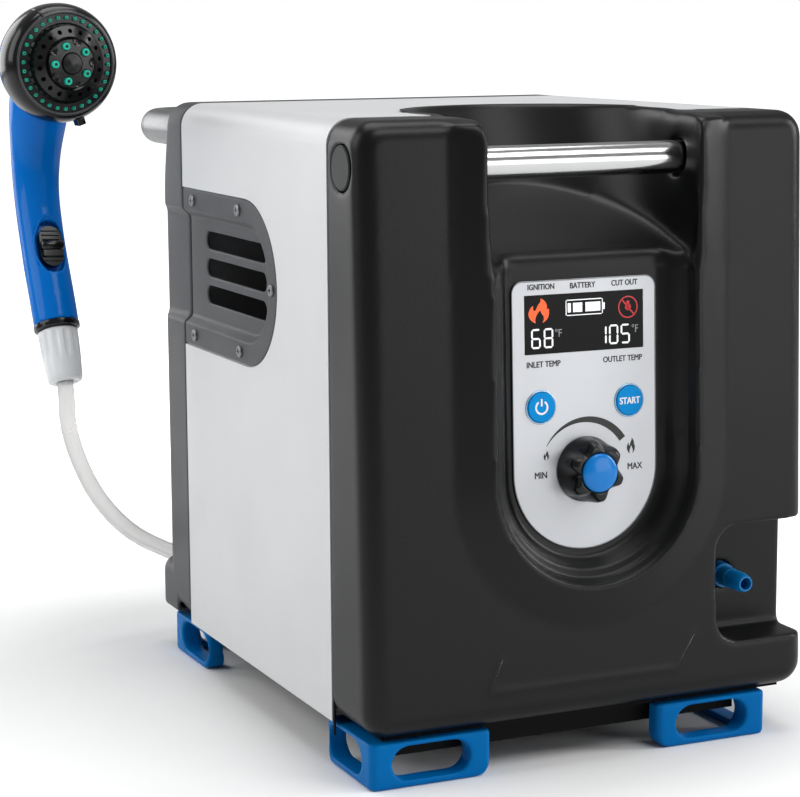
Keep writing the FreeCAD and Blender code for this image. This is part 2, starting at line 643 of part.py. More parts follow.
def vent_frame():
    """The ring of sheet behind the wrap that the vent plate is screwed to."""
    x = -v("case_w") / 2 + v("sheet_t")
    rear = v("seam_rear") - 2 * v("seam_gap")
    ring = vent_slab(x, v("sheet_t"), v("frame_over"), rear)
    hole = vent_slab(x - 1, v("sheet_t") + 2, -v("vent_rim") + v("vent_wall") + 0.5, rear + 5)
    holes = [Part.makeCylinder(v("screw_r"), 20, Vector(x - 5, y, z), Vector(1, 0, 0))
             for y, z in vent_screw_places()]
    return node("vent_frame", formed(ring.cut([hole] + holes)))


def cross_screw(head_r, head_h, shank_r, shank_l):
    """A pan-head screw with a cross recess; its head stands on z = 0 and points along +Z."""
    head = Part.makeCylinder(head_r, head_h)
    head = head.makeFillet(head_h * 0.6, edges_where(head, lambda e: e.BoundBox.ZMin > head_h - 0.01))
    shank = Part.makeCylinder(shank_r, shank_l, Vector(0, 0, -shank_l))
    arm = head_r * 1.1
    width = head_r * 0.24
    low = head_h * 0.45
    cross = [Part.makeBox(arm, width, head_h, Vector(-arm / 2, -width / 2, low)),
             Part.makeBox(width, arm, head_h, Vector(-width / 2, -arm / 2, low))]
    return head.fuse(shank).cut(cross)


def vent_screws():
    screws = []
    for y, z in vent_screw_places():
        screw = cross_screw(v("screw_head_r"), v("screw_head_h"), v("screw_r"), v("screw_l"))
        screws.append(placed(screw, Placement(Vector(-v("case_w") / 2, y, z), TURNS["-X"])))
    return node("vent_screws", formed(Part.makeCompound(screws)))


def rear_block(inset, front):
    """The rear cover's outer form with its leaning top, set in by inset."""
    half = v("case_w") / 2 - inset
    low = v("base_z") + inset
    high = v("case_h") - inset
    back = v("rear_y") - inset
    lean = (v("rear_y") - v("rear_top_y")) / (v("case_h") - down("rear_lean_drop"))
    top_back = back - lean * (high - down("rear_lean_drop"))
    outline = [
        Vector(-half, front, low), Vector(-half, back, low), Vector(-half, back, down("rear_lean_drop")),
        Vector(-half, top_back, high), Vector(-half, front, high),
    ]
    shape = Part.Face(Part.makePolygon(outline + [outline[0]])).extrude(Vector(2 * half, 0, 0))

    def bend(edge):
        bounds = edge.BoundBox
        return bounds.XLength > half and abs(bounds.ZMin - down("rear_lean_drop")) < 0.01
    shape = shape.makeFillet(v("rear_bend_r") - inset, edges_where(shape, bend))
    long_edges = edges_where(shape, lambda e: e.BoundBox.XLength < 0.01 and e.BoundBox.ZLength < 0.01)
    shape = shape.makeFillet(v("corner_r") - inset, long_edges)

    def at_back(edge):
        middle = edge.valueAt((edge.FirstParameter + edge.LastParameter) / 2)
        ends = [edge.valueAt(edge.FirstParameter), edge.valueAt(edge.LastParameter)]
        flat = edge.BoundBox.XLength < half * 1.5 or edge.BoundBox.ZMax > high - 0.01 \
            or edge.BoundBox.ZMin < low + 0.01
        return flat and min(p.y for p in ends + [middle]) > top_back - 0.5
    return shape.makeFillet(v("rear_edge_r") - inset, edges_where(shape, at_back))


def bumper_form(inset, front):
    """The ledge along the rear cover's foot that the water and gas fittings come out of."""
    half = v("case_w") / 2 - inset
    back = v("bumper_y") - inset
    shape = block(-half, half, front, back, v("base_z") + inset, v("bumper_z") - inset)
    upright = edges_where(shape, lambda e: e.BoundBox.ZLength > 10 and e.BoundBox.YMin > back - 0.01)
    shape = shape.makeFillet(v("corner_r") - inset, upright)
    high = v("bumper_z") - inset - 0.01
    top = edges_where(shape, lambda e: e.BoundBox.ZMin > high and e.BoundBox.YMax > front + 1)
    return shape.makeFillet(v("bumper_edge_r") - inset, top)


def scoop_form(out, deep_extra):
    """The vent's tray carried on over the rear cover's corner, fading towards the back."""
    x = -v("case_w") / 2
    wires = []
    for y, deep in [(v("seam_rear") - 2, v("vent_deep")), (v("rear_y") + 10, v("vent_deep") / 2)]:
        slope = v("vent_slope") / v("vent_deep")
        low = (down("vent_drop") - v("vent_h")) + v("vent_rim")
        high = down("vent_drop") - v("vent_rim")
        wires.append(Part.makePolygon([
            Vector(x - 1, y, low - slope - out), Vector(x + deep + deep_extra, y, low + slope * deep - out),
            Vector(x + deep + deep_extra, y, high - slope * deep + out), Vector(x - 1, y, high + slope + out),
            Vector(x - 1, y, low - slope - out),
        ]))
    return Part.makeLoft(wires, True, True)


FITTINGS = [("outlet_x", "port_r"), ("inlet_x", "port_r"), ("gas_x", "gas_r"), ("socket_x", "socket_r")]


def rear_cover():
    front = v("seam_rear") + v("seam_gap") / 2
    wall = v("wall")
    outer = rear_block(0, front)
    ledge = bumper_form(0, v("rear_y") - 20)
    backing = scoop_form(wall, wall).common(outer)
    shell = outer.fuse(ledge).cut(rear_block(wall, front - 5).fuse(bumper_form(wall, v("rear_y") - 25)))
    shell = shell.fuse(backing)
    tools = [scoop_form(0, 0)]
    for row in range(6):
        z = v("louvre_z") - row * v("louvre_pitch")
        half = v("louvre_w") / 2
        ends = [Part.makeCylinder(v("louvre_h") / 2, 20, Vector(x, v("rear_y") - 10, z), Vector(0, 1, 0))
                for x in (-half, half)]
        r = v("louvre_h") / 2
        bar = block(-half, half, v("rear_y") - 10, v("rear_y") + 10, z - r, z + r)
        tools.append(bar.multiFuse(ends))
    backwards = Vector(0, 1, 0)
    for side in (-1, 1):
        leg = Vector(side * (v("case_w") / 2 - v("loop_in")), front - 5, down("loop_drop"))
        tools.append(Part.makeCylinder(v("loop_r") + v("fit_gap"), 60, leg, backwards))
    for x, r in FITTINGS:
        port_start = Vector(v(x), v("bumper_y") - 15, v("port_z"))
        tools.append(Part.makeCylinder(v(r), 30, port_start, backwards))
    return node("rear_cover", formed(shell.cut(tools)))


# ---- base and feet ----------------------------------------------------------------------------

def base_pan():
    """A shallow tray let into a flat plate that the cover, the wrap and the feet meet."""
    deep = "base_z - pan_z"
    outer = box(("-pan_left", "-pan_y0", "pan_z"), ("pan_left + pan_right", "pan_y0 + pan_y1", deep))
    flange = box(("-flange_w / 2", "-flange_y0", "base_z - pan_t - flange_gap"),
                 ("flange_w", "flange_y0 + flange_y1", "pan_t"))
    inner = box(("-pan_left + pan_t", "-pan_y0 + pan_t", "pan_z + pan_t"),
                ("pan_left + pan_right - 2 * pan_t", "pan_y0 + pan_y1 - 2 * pan_t", deep))
    slots = [box((f"fan_x + ({step} - 2.5) * air_slot_pitch - air_slot_w / 2", "fan_y - air_slot_l / 2",
                  "pan_z - 2"), ("air_slot_w", "air_slot_l", "8")) for step in range(6)]
    node("base_plate", cut(flange, outer))
    return node("base_pan", cut(outer, inner, *slots))


def foot(label, side, end, reach, far, side_len):
    """An L-shaped corner foot with a long window in each leg. side and end are the signs of its corner."""
    high = v("base_z") - v("flange_gap") - v("pan_t")
    t = v("foot_t")
    x = side * v(reach)
    y = end * v(far)
    along_x = block(*sorted((x, x - side * v("foot_len"))), *sorted((y, y - end * t)), 0, high)
    along_y = block(*sorted((x, x - side * t)), *sorted((y, y - end * side_len)), 0, high)
    shape = along_x.fuse(along_y).removeSplitter()
    upright = edges_where(shape, lambda e: e.BoundBox.ZLength > high - 0.01)
    shape = shape.makeFillet(v("foot_edge_r"), upright)
    rim = edges_where(shape, lambda e: e.BoundBox.ZMax < 0.01)
    shape = shape.makeChamfer(1.0, rim)
    r = v("foot_end_r")
    tip_x = x - side * v("foot_len")
    tip_y = y - end * side_len
    under_x = block(*sorted((tip_x - side, tip_x + side * r)), *sorted((y + end, y - end * (t + 1))), -1, r)
    under_y = block(*sorted((x + side, x - side * (t + 1))), *sorted((tip_y - end, tip_y + end * r)), -1, r)
    curl_x = Part.makeCylinder(r, 4 * t, Vector(tip_x + side * r, y - 2 * t, r), Vector(0, 1, 0))
    curl_y = Part.makeCylinder(r, 4 * t, Vector(x - 2 * t, tip_y + end * r, r), Vector(1, 0, 0))
    shape = shape.cut(under_x.cut(curl_x)).cut(under_y.cut(curl_y))
    r = v("foot_slot_h") / 2
    z = v("foot_slot_z") + r
    centre_x = x - side * v("foot_len") / 2
    centre_y = y - end * (t + (side_len - t) / 2)
    windows = [(centre_x, "X", v("foot_slot_l")), (centre_y, "Y", side_len - t - v("foot_rib"))]
    for centre, axis, length in windows:
        spread = length / 2 - r
        if axis == "X":
            ends = [Part.makeCylinder(r, 4 * t, Vector(centre + s * spread, y - 2 * t, z), Vector(0, 1, 0))
                    for s in (-1, 1)]
            bar = block(centre - spread, centre + spread, y - 2 * t, y + 2 * t, z - r, z + r)
        else:
            ends = [Part.makeCylinder(r, 4 * t, Vector(x - 2 * t, centre + s * spread, z), Vector(1, 0, 0))
                    for s in (-1, 1)]
            bar = block(x - 2 * t, x + 2 * t, centre - spread, centre + spread, z - r, z + r)
        shape = shape.cut(bar.multiFuse(ends))
    return node(label, formed(shape))


def feet():
    foot("foot_front_left", -1, -1, "foot_left", "foot_front", v("foot_side"))
    foot("foot_front_right", 1, -1, "foot_right", "foot_front", v("foot_side"))
    foot("foot_rear_left", -1, 1, "foot_left", "foot_rear", v("foot_side"))
    foot("foot_rear_right", 1, 1, "foot_right", "foot_rear", v("foot_side"))


# ---- handles ----------------------------------------------------------------------------------

def front_handle():
    length = "case_w - 2 * cap_t + 1"
    at = ("-case_w / 2 + cap_t - 0.5", "-bar_y", "(case_h - bar_drop)")
    tube = cut(rod(at, "bar_r", length, "X"), rod(at, "bar_r - tube_t", length, "X"))
    node("front_handle", tube)


def handle_cap(label, side):
    """A round plug that closes one end of the bar, flush with the cover's side."""
    r = v("cap_r")
    bore = v("bar_r") - v("tube_t")
    face = v("cap_t") - 0.2
    shape = spin([(0, -14), (bore, -14), (bore, 0), (r, 0), (r, face - 0.8), (r - 0.8, face), (0, face)])
    place = Placement(Vector(side * (v("case_w") / 2 - v("cap_t") + 0.5), -v("bar_y"), down("bar_drop")),
                      TURNS["X" if side > 0 else "-X"])
    return node(label, formed(placed(shape, place)))


def rear_handle():
    """A tube bent to a flat U that comes out of both top corners of the rear cover."""
    x = (v("case_w") / 2 - v("loop_in"))
    inner = v("seam_rear") + 12
    edges = []
    bend = v("loop_bend")
    c = bend * math.sqrt(0.5)
    left = Vector(-x + bend, v("loop_y") - bend, down("loop_drop"))
    right = Vector(x - bend, v("loop_y") - bend, down("loop_drop"))
    side = Vector(bend, 0, 0)
    back = Vector(0, bend, 0)
    edges.append(Part.makeLine(Vector(-x, inner, down("loop_drop")), left - side))
    edges.append(Part.Arc(left - side, left + Vector(-c, c, 0), left + back).toShape())
    edges.append(Part.makeLine(left + back, right + back))
    edges.append(Part.Arc(right + back, right + Vector(c, c, 0), right + side).toShape())
    edges.append(Part.makeLine(right + side, Vector(x, inner, down("loop_drop"))))
    path = Part.Wire(edges)
    shape = swept(path, v("loop_r")).cut(swept(path, v("loop_r") - v("tube_t")))
    check_tube("rear_handle", shape, path, math.pi * (v("loop_r") ** 2 - (v("loop_r") - v("tube_t")) ** 2))
    node("rear_handle", formed(shape))


def handle_bracket(label, side):
    """A steel bracket inside the rear cover that clamps one leg of the rear handle."""
    x = f"{side} * (case_w / 2 - loop_in)"
    edge = f"{x} - bracket_w / 2 - {side} * loop_r / 5"
    low = f"{LOOP_Z} - bracket_h"
    plate = box((edge, "seam_rear + 14", f"{low} + 1"), ("bracket_w", "bracket_d", "bracket_h"))
    hole = rod((x, "seam_rear + 10", LOOP_Z), "loop_r", "40", "Y")
    inside = box((f"{edge} + 2", "seam_rear + 16", f"{low} - 4"), ("bracket_w - 4", "30", "32"))
    return node(label, cut(plate, hole, inside))


# ---- controls ---------------------------------------------------------------------------------

def fascia_wire(out):
    half = v("fascia_r")
    centre = up_front(down("fascia_mid_drop"))
    top = up_front(down("fascia_drop"))
    r = v("fascia_corner")
    c = r * math.sqrt(0.5)
    left_arc = Part.Arc(Vector(-half, top - r, out), Vector(-half + r - c, top - r + c, out),
                        Vector(-half + r, top, out))
    right_arc = Part.Arc(Vector(half - r, top, out), Vector(half - r + c, top - r + c, out),
                         Vector(half, top - r, out))
    bottom = Part.Arc(Vector(half, centre, out), Vector(0, centre - half, out), Vector(-half, centre, out))
    edges = [
        Part.makeLine(Vector(-half, centre, out), Vector(-half, top - r, out)), left_arc.toShape(),
        Part.makeLine(Vector(-half + r, top, out), Vector(half - r, top, out)), right_arc.toShape(),
        Part.makeLine(Vector(half, top - r, out), Vector(half, centre, out)), bottom.toShape(),
    ]
    return Part.Wire(edges)


def control_fascia():
    """The silver plate on the control panel with its window, button and stem openings."""
    level = -v("panel_in")
    plate = Part.Face(fascia_wire(level)).extrude(Vector(0, 0, v("fascia_t")))
    plate = placed(plate, front_frame())
    window = front_slab(-v("lcd_w") / 2 - 0.1, v("lcd_w") / 2 + 0.1, down("lcd_drop") - v("lcd_h") / 2 - 0.1,
                        down("lcd_drop") + v("lcd_h") / 2 + 0.1, level - 5, level + 5)
    holes = [front_rod(x, down("button_drop"), v("button_r") + v("button_gap"), level - 5, level + 5)
             for x in (-v("button_x"), v("button_x"))]
    stem = front_rod(0, down("knob_drop"), v("stem_r") + v("knob_gap"), level - 5, level + 5)
    return node("control_fascia", formed(plate.cut([window, stem] + holes)))


def flat_body(label, width, height, depth, z, out, radius=None):
    """A rectangular plate on the front, padded from a sketch."""
    body = body_on(label + "_body")
    sketch = rectangle_sketch(body, label + "_outline", width, height)
    feature = pad(body, sketch, depth, label + "_pad")
    if radius:
        edges = edge_names(feature.Shape, lambda e: e.BoundBox.ZLength > 0.5 and e.BoundBox.XLength < 0.01
                           and e.BoundBox.YLength < 0.01)
        round_off(body, feature, edges, radius, label + "_corners")
    put_on_front(body, "0", z, out)
    return node(label, body)


def button(label, side):
    """A round push button; it stands on its stem behind the panel."""
    body = body_on(label + "_body")
    cap = circle_sketch(body, label + "_face", "button_r")
    feature = pad(body, cap, "button_l", label + "_pad")
    edges = edge_names(feature.Shape, lambda e: e.BoundBox.ZMin > v("button_l") - 0.01)
    round_off(body, feature, edges, "button_up / 2", label + "_edge")
    put_on_front(body, f"{side} * button_x", BUTTON_Z, "-panel_in + fascia_t + button_up - button_l")
    return node(label, body)


def control_knob():
    """The regulator knob with its finger grips, and the stem that turns the gas valve."""
    base = -v("panel_in") + v("fascia_t") + v("knob_gap")
    r = v("knob_r")
    top = v("knob_h")
    body = spin([(0, 0), (r - 0.5, 0), (r, 0.6), (r, 4), (r - 1, 7), (r - 2.2, top - 3), (r - 2.6, top - 0.9),
                 (r - 3.4, top),
                 (v("knob_cap_r") + 0.2, top), (v("knob_cap_r") + 0.2, top - v("knob_cap_deep")),
                 (0, top - v("knob_cap_deep"))])
    scoops = []
    for step in range(6):
        angle = math.radians(60 * step + 10)
        at = Vector(v("scoop_out") * math.cos(angle), v("scoop_out") * math.sin(angle), 10)
        scoops.append(Part.makeSphere(v("scoop_r"), at))
    body = body.cut(scoops)
    stem = Part.makeCylinder(v("stem_r"), v("stem_l"), Vector(0, 0, -v("stem_l")))
    shape = body.fuse(stem)
    place = front_frame().multiply(Placement(Vector(0, up_front(down("knob_drop")), base), Rotation()))
    return node("control_knob", formed(placed(shape, place)))


def knob_cap():
    """The blue domed disc let into the knob's face."""
    base = -v("panel_in") + v("fascia_t") + v("knob_gap") + v("knob_h") - v("knob_cap_deep")
    r = v("knob_cap_r")
    shape = spin([(0, 0), (r, 0), (r, 2.6), (r - 0.9, 3.3), (r - 3, 3.8), (0, v("knob_cap_h"))])
    place = front_frame().multiply(Placement(Vector(0, up_front(down("knob_drop")), base), Rotation()))
    return node("knob_cap", formed(placed(shape, place)))


def gas_valve():
    """The brass valve behind the panel that the knob's stem turns."""
    behind = "-panel_in - wall"
    block_shape = bind(new("Part::Box"), Length="valve_w", Width="valve_h", Height="valve_d - 2")
    body = put_on_front(block_shape, "-valve_w / 2", f"{KNOB_Z} - valve_h / 2", f"{behind} - valve_d")
    neck = bind(new("Part::Cylinder"), Radius="stem_r + 6", Height="3")
    bore = bind(new("Part::Cylinder"), Radius="stem_r + fit_gap", Height="stem_l + 6")
    put_on_front(neck, "0", KNOB_Z, f"{behind} - 3")
    put_on_front(bore, "0", KNOB_Z, f"{behind} + 2 - stem_l")
    ends = [rod((x, "-valve_y", f"{KNOB_Z} - valve_d"), "pipe_r", "25")
            for x in ("valve_port_x", "-valve_port_x")]
    return node("gas_valve", cut(fuse(body, neck, *ends), bore))


def controls():
    control_fascia()
    flat_body("lcd_window", "lcd_w", "lcd_h", "lcd_t / 2", LCD_Z, "-panel_in + fascia_t - lcd_t / 2", "1.5")
    flat_body("lcd_module", "lcd_w - 6", "lcd_h - 6", "wall + 3", LCD_Z, "-panel_in - wall - 3")
    flat_body("control_board", "94", "74", "1.6", f"{LCD_Z} - 16", "-panel_in - wall - 5.6")
    button("power_button", -1)
    button("start_button", 1)
    control_knob()
    knob_cap()
    gas_valve()


# ---- fittings ---------------------------------------------------------------------------------

def hose_nipple():
    """The blue ridged nipple in the front pocket."""
    r = v("nipple_r")
    out = v("nipple_out")
    shoulder = r + v("nipple_step") - 0.1
    wall = v("wall")
    bore = v("nipple_bore")
    first = out - 16
    outline = [(bore, -14), (r + 4, -14), (r + 4, -wall), (shoulder, -wall), (shoulder, 4), (r, 4)]
    outline += [(r, first - 1)]
    for ring in range(3):
        z = first + v("ridge_pitch") * ring
        outline += [(r - 0.9, z), (r - 0.1, z), (r - 0.9, z + 4.4)]
    outline += [(r - 1.6, out), (bore, out)]
    place = Placement(Vector(v("nipple_x"), -v("pocket_y"), v("nipple_z")), TURNS["-Y"])
    return node("hose_nipple", formed(spin(outline, place)))


def port(label, x, radius, bore):
    """A threaded spigot with a hexagon flange against the inside of the rear ledge."""
    inner = v("bumper_y") - v("wall")
    deep = 6
    backwards = Vector(0, 1, 0)
    mouth = Vector(v(x), inner, v("port_z"))
    relief = v("wall") + v("relief_l")
    neck = Part.makeCylinder(v(radius) - v("relief_t"), relief, mouth, backwards)
    free = v("port_out") - v("relief_l")
    thread = Part.makeCylinder(v(radius), free, mouth + backwards * relief, backwards)
    corners = [math.radians(60 * k) for k in range(7)]
    hexagon = Part.makePolygon([Vector(math.cos(a), math.sin(a), 0) * v("hex_r") for a in corners])
    flange = Part.Face(hexagon).extrude(Vector(0, 0, deep))
    flange = placed(flange, Placement(mouth - backwards * deep, TURNS["Y"]))
    tail_start = mouth - backwards * (deep + v("tail_l"))
    tail = Part.makeCylinder(v("pipe_r") + 2, v("tail_l"), tail_start, backwards)
    drill = Part.makeCylinder(v(bore), 60, mouth - backwards * 25, backwards)
    return node(label, formed(neck.multiFuse([thread, flange, tail]).cut(drill)))


def charge_socket():
    """The round low-voltage socket for charging the battery."""
    back = "bumper_y - wall"
    shell = fuse(rod(("socket_x", back, "port_z"), "socket_r", "wall + 1", "Y"),
                 rod(("socket_x", f"{back} - 12", "port_z"), "socket_r + 1.5", "12", "Y"))
    hole = rod(("socket_x", f"{back} - 8", "port_z"), "socket_r - 1.8", "20", "Y")
    pin = rod(("socket_x", f"{back} - 9", "port_z"), "1", "11", "Y")
    return node("charge_socket", fuse(cut(shell, hole), pin))


def fittings():
    hose_nipple()
    port("water_outlet", "outlet_x", "port_r", "port_bore")
    port("water_inlet", "inlet_x", "port_r", "port_bore")
    port("gas_inlet", "gas_x", "gas_r", "gas_bore")
    charge_socket()


# ---- inside -----------------------------------------------------------------------------------

def steps_in(length, pitch):
    """The numbers of the repeats that fit in a length."""
    return range(int(length / pitch + 0.001) + 1)


def combustion_chamber():
    """The sheet box round the flames, open below and above, on four legs."""
    low = "pan_z + pan_t"
    outer = box(("chamber_x", "chamber_y", "chamber_z"), ("chamber_w", "chamber_d", "chamber_h"))
    inner = box(("chamber_x + tin_t", "chamber_y + tin_t", "chamber_z"),
                ("chamber_w - 2 * tin_t", "chamber_d - 2 * tin_t", "chamber_h + 10"))
    legs = [box((x, y, low), ("leg_w", "leg_w", f"chamber_z + 2 - ({low})"))
            for x in ("chamber_x", "chamber_x + chamber_w - leg_w")
            for y in ("chamber_y", "chamber_y + chamber_d - leg_w")]
    return node("combustion_chamber", cut(fuse(outer, *legs), inner))


def burner():
    """A row of burner bars between the box's walls, on one gas pipe."""
    start = "chamber_x + burner_w + 3"
    rows = steps_in(v("chamber_w") - 2 * v("burner_w") - 3, v("burner_pitch"))
    bars = [box((f"{start} + {step} * burner_pitch", "chamber_y + tin_t", "burner_z"),
                ("burner_w", "chamber_d - 2 * tin_t", "burner_h")) for step in rows]
    first = f"{start} + burner_w * 0.35"
    flames = [box((f"{first} + {step} * burner_pitch", "chamber_y + 17", "burner_z + burner_h - 6"),
                  ("burner_w * 0.3", "chamber_d - 34", "8")) for step in rows]
    feed = rod(("chamber_x + burner_feed_r", "fan_y", "burner_z - 6"), "burner_feed_r", "chamber_w - 4", "X")
    return node("burner", cut(fuse(feed, *bars), *flames))


def heat_exchanger():
    """A copper core on top of the burner box: fins and end plates on four water tubes."""
    low = "chamber_z + chamber_h"
    rows = steps_in(v("chamber_w") - 10, v("fin_pitch"))
    fins = [box((f"chamber_x + 5 + {step} * fin_pitch", "chamber_y + 2", low),
                ("fin_t", "chamber_d - 4", "core_h")) for step in rows]
    tubes = [rod(("chamber_x + 1", f"chamber_y + 17 + {step} * core_tube_pitch", f"{low} + core_h / 2"),
                 "core_tube_r", "chamber_w - 2", "X")
             for step in steps_in(v("chamber_d") - 17 - v("core_tube_r"), v("core_tube_pitch"))]
    ends = [box((x, "chamber_y + 2", low), ("2 * tin_t", "chamber_d - 4", "core_h"))
            for x in ("chamber_x + 0.5", "chamber_x + chamber_w - 0.5 - 2 * tin_t")]
    return node("heat_exchanger", fuse(*fins, *tubes, *ends))


def exhaust_hood():
    """The sheet hood that leads the hot gas from the core to the vent."""
    low = "chamber_z + chamber_h + core_h"
    left = "-case_w / 2 + hood_gap"
    front = "chamber_y - hood_over"
    wide = f"chamber_x + chamber_w - ({left})"
    deep = "chamber_d + hood_over + 3"
    outer = box((left, front, low), (wide, deep, "hood_h"))
    inner = box((f"{left} - 6", f"{front} + hood_t", f"{low} - 8"),
                (f"{wide} + 6 - hood_t", f"{deep} - 2 * hood_t", "hood_h + 8 - hood_t"))
    floor = box((left, front, low), (f"chamber_x + tin_t - ({left})", deep, "hood_t"))
    return node("exhaust_hood", fuse(cut(outer, inner), floor))


def igniter():
    """Two ceramic electrodes with their wires' ends, on one clip under the burner bars."""
    low = "burner_z - 2"
    places = [f"chamber_x + burner_w * 2.8 + {step} * burner_pitch" for step in range(2)]
    rods = [rod((x, "chamber_y + 6", low), "spark_r", "30") for x in places]
    tips = [rod((x, "chamber_y + 6", f"{low} + 28"), "spark_r / 3", "12") for x in places]
    clip = box(("chamber_x + burner_w * 2.5", "chamber_y + 2", low), ("burner_pitch + 2 * spark_r", "7", "2"))
    return node("igniter", fuse(clip, *rods, *tips))


def fan():
    """The blower that feeds air to the burner, and its wheel."""
    floor = "pan_z + pan_t"
    low = f"{floor} + 4"
    wall = "fan_wall"

    def disc(z, radius, height):
        return rod(("fan_x", "fan_y", z), radius, height)
    cup = cut(disc(low, "fan_r", "fan_h"), disc(f"{low} + 2", f"fan_r - {wall}", "fan_h"))
    lid = cut(disc(f"{low} + fan_h - 2", "fan_r", "2"), disc(low, "fan_r - 4 * fan_wall", "fan_h + 6"))
    inlet = [box((f"fan_x - 24 + {14 * step}", "fan_y - fan_r / 2", f"{low} - 1"), ("6", "16", "4"))
             for step in range(4)]
    mount = disc(floor, "2 * pin_r", "8")
    pin = disc(low, "pin_r", "wheel_h + 2")
    node("fan_housing", fuse(cut(fuse(cup, lid), *inlet), mount, pin))
    bore = v("pin_r") + v("fit_gap")
    r = v("wheel_r")
    high = v("wheel_h")
    hub = spin([(bore, 0), (r, 0), (r, 2), (14, 2), (12, high - 2), (bore, high - 2)])
    start = Vector(r - v("blade_l") - 1, -v("blade_t") / 2, 1)
    blades = []
    for step in range(16):
        blade = Part.makeBox(v("blade_l"), v("blade_t"), high - 1, start)
        blades.append(placed(blade, Placement(Vector(), Rotation(Vector(0, 0, 1), 22.5 * step))))
    middle = Vector(v("fan_x"), v("fan_y"), v("pan_z") + v("pan_t") + v("wheel_z"))
    wheel = placed(hub.multiFuse(blades), Placement(middle, Rotation()))
    return node("fan_rotor", formed(wheel.removeSplitter()))


def battery_pack():
    """Three cells in a shrink sleeve on a tray."""
    low = "pan_z + pan_t"
    cells = [rod((f"battery_x + 11 + {step} * cell_pitch", "battery_y + 1", f"{low} + tray_h + cell_r - 3"),
                 "cell_r", "tray_d - 2", "Y") for step in range(3)]
    tray = box(("battery_x", "battery_y", low), ("tray_w", "tray_d", "tray_h"))
    return node("battery_pack", fuse(tray, *cells))


def water_pump():
    """The pump: a motor on a block, its pump head and two spigots."""
    low = "pan_z + pan_t"
    head_y = "pump_y + motor_l"
    motor = rod((PUMP_X, "pump_y", "pump_z"), "motor_r", "motor_l", "Y")
    head = rod((PUMP_X, head_y, "pump_z"), "pump_head_r", "pump_head_l", "Y")
    base = box((f"{PUMP_X} - motor_r + 1", "pump_y + 5", low), ("2 * motor_r - 2", "motor_l - 12", "20"))
    spigot = rod((PUMP_X, f"{head_y} + pump_head_l / 2", "pump_z + motor_r"), "pipe_r",
                 "sensor_z - 14 - pump_z - motor_r")
    suction = rod((PUMP_X, f"{head_y} + pump_head_l", "pump_z"), "pipe_r", "14", "Y")
    return node("water_pump", fuse(motor, head, base, spigot, suction))


def flow_sensor():
    """The flow sensor on the pump's outlet."""
    y = "pump_y + motor_l + pump_head_l / 2"
    body = rod((PUMP_X, y, "sensor_z"), "sensor_r", "sensor_h")
    collar_places = ("sensor_z - 6", "sensor_z + sensor_h - 1")
    collars = [rod((PUMP_X, y, z), "pipe_r + 2", "7") for z in collar_places]
    plug = box((f"{PUMP_X} + sensor_r - 2", f"{y} - 5", "sensor_z + 6"), ("12", "10", "14"))
    bore = rod((PUMP_X, y, "sensor_z - 20"), "pipe_r", "sensor_h + 44")
    return node("flow_sensor", cut(fuse(body, plug, *collars), bore))


def pipes():
    """The bent copper pipes for water and gas; their ends lie on the pieces they join."""
    water = (v("pipe_r"), v("pipe_bore"))
    gas = (v("gas_pipe_r"), v("gas_pipe_bore"))
    ports_y = v("bumper_y") - v("wall") - 6 - v("tail_l")
    z = v("port_z")
    pump_x = v("chamber_x") + v("chamber_w") + v("pump_gap")
    pump_z = v("pump_z")
    head_end = v("pump_y") + v("motor_l") + v("pump_head_l")
    riser_y = head_end - v("pump_head_l") / 2
    core_z = v("chamber_z") + v("chamber_h") + v("core_h") / 2
    core_left = v("chamber_x") + 0.5
    core_right = v("chamber_x") + v("chamber_w") - 0.5
    tube_in = v("chamber_y") + 17 + v("core_tube_pitch")
    tube_out = v("chamber_y") + 17 + 3 * v("core_tube_pitch")
    inlet = v("inlet_x")
    outlet = v("outlet_x")
    suction_bend = (inlet, ports_y - 30, z)
    pipe("suction_pipe", [(inlet, ports_y, z), suction_bend, (pump_x, 125, pump_z),
                          (pump_x, head_end + 14, pump_z)], *water)
    top = v("sensor_z") + v("sensor_h") + 6
    pipe("cold_pipe", [(pump_x, riser_y, top), (pump_x, riser_y, core_z - 22), (pump_x, tube_in, core_z),
                       (core_right, tube_in, core_z)], *water)
    pipe("hot_pipe", [(core_left, tube_out, core_z), (core_left - 23.5, tube_out, core_z),
                      (core_left - 27.5, 118, 130), (outlet - 50, 150, 60), (outlet, ports_y - 28, z),
                      (outlet, ports_y, z)], *water)
    valve_x = v("valve_port_x")
    valve_y = -v("valve_y")
    valve_z = down("knob_drop") - v("valve_d")
    feed_z = v("burner_z") - 6
    feed_x = v("chamber_x") + v("burner_feed_r")
    gas_x = v("gas_x")
    pipe("gas_pipe", [(gas_x, ports_y, z), (gas_x, 130, z), (pump_x + 43, 60, 90), (pump_x + 35, -60, 126),
                      (50, -112, valve_z - 21.5),
                      (valve_x, valve_y, valve_z - 33.5), (valve_x, valve_y, valve_z)], *gas)
    pipe("burner_pipe", [(-valve_x, valve_y, valve_z), (-valve_x, valve_y, valve_z - 37.5),
                         (-60, -80, feed_z), (feed_x - 20, 0, feed_z), (feed_x - 20, v("fan_y"), feed_z),
                         (feed_x, v("fan_y"), feed_z)], *gas)


def inside():
    combustion_chamber()
    burner()
    heat_exchanger()
    exhaust_hood()
    igniter()
    fan()
    battery_pack()
    water_pump()
    flow_sensor()
    pipes()


# ---- hand shower ------------------------------------------------------------------------------

def hand_frame():
    """Origin at the centre of the spray face; X across, Y to the back of the head, Z up the grip."""
    turn = Rotation(Vector(0, 0, 1), v("hand_turn")).multiply(Rotation(Vector(0, 1, 0), v("hand_tilt")))
    return Placement(Vector(v("hand_x"), v("hand_y"), v("hand_z")), turn)


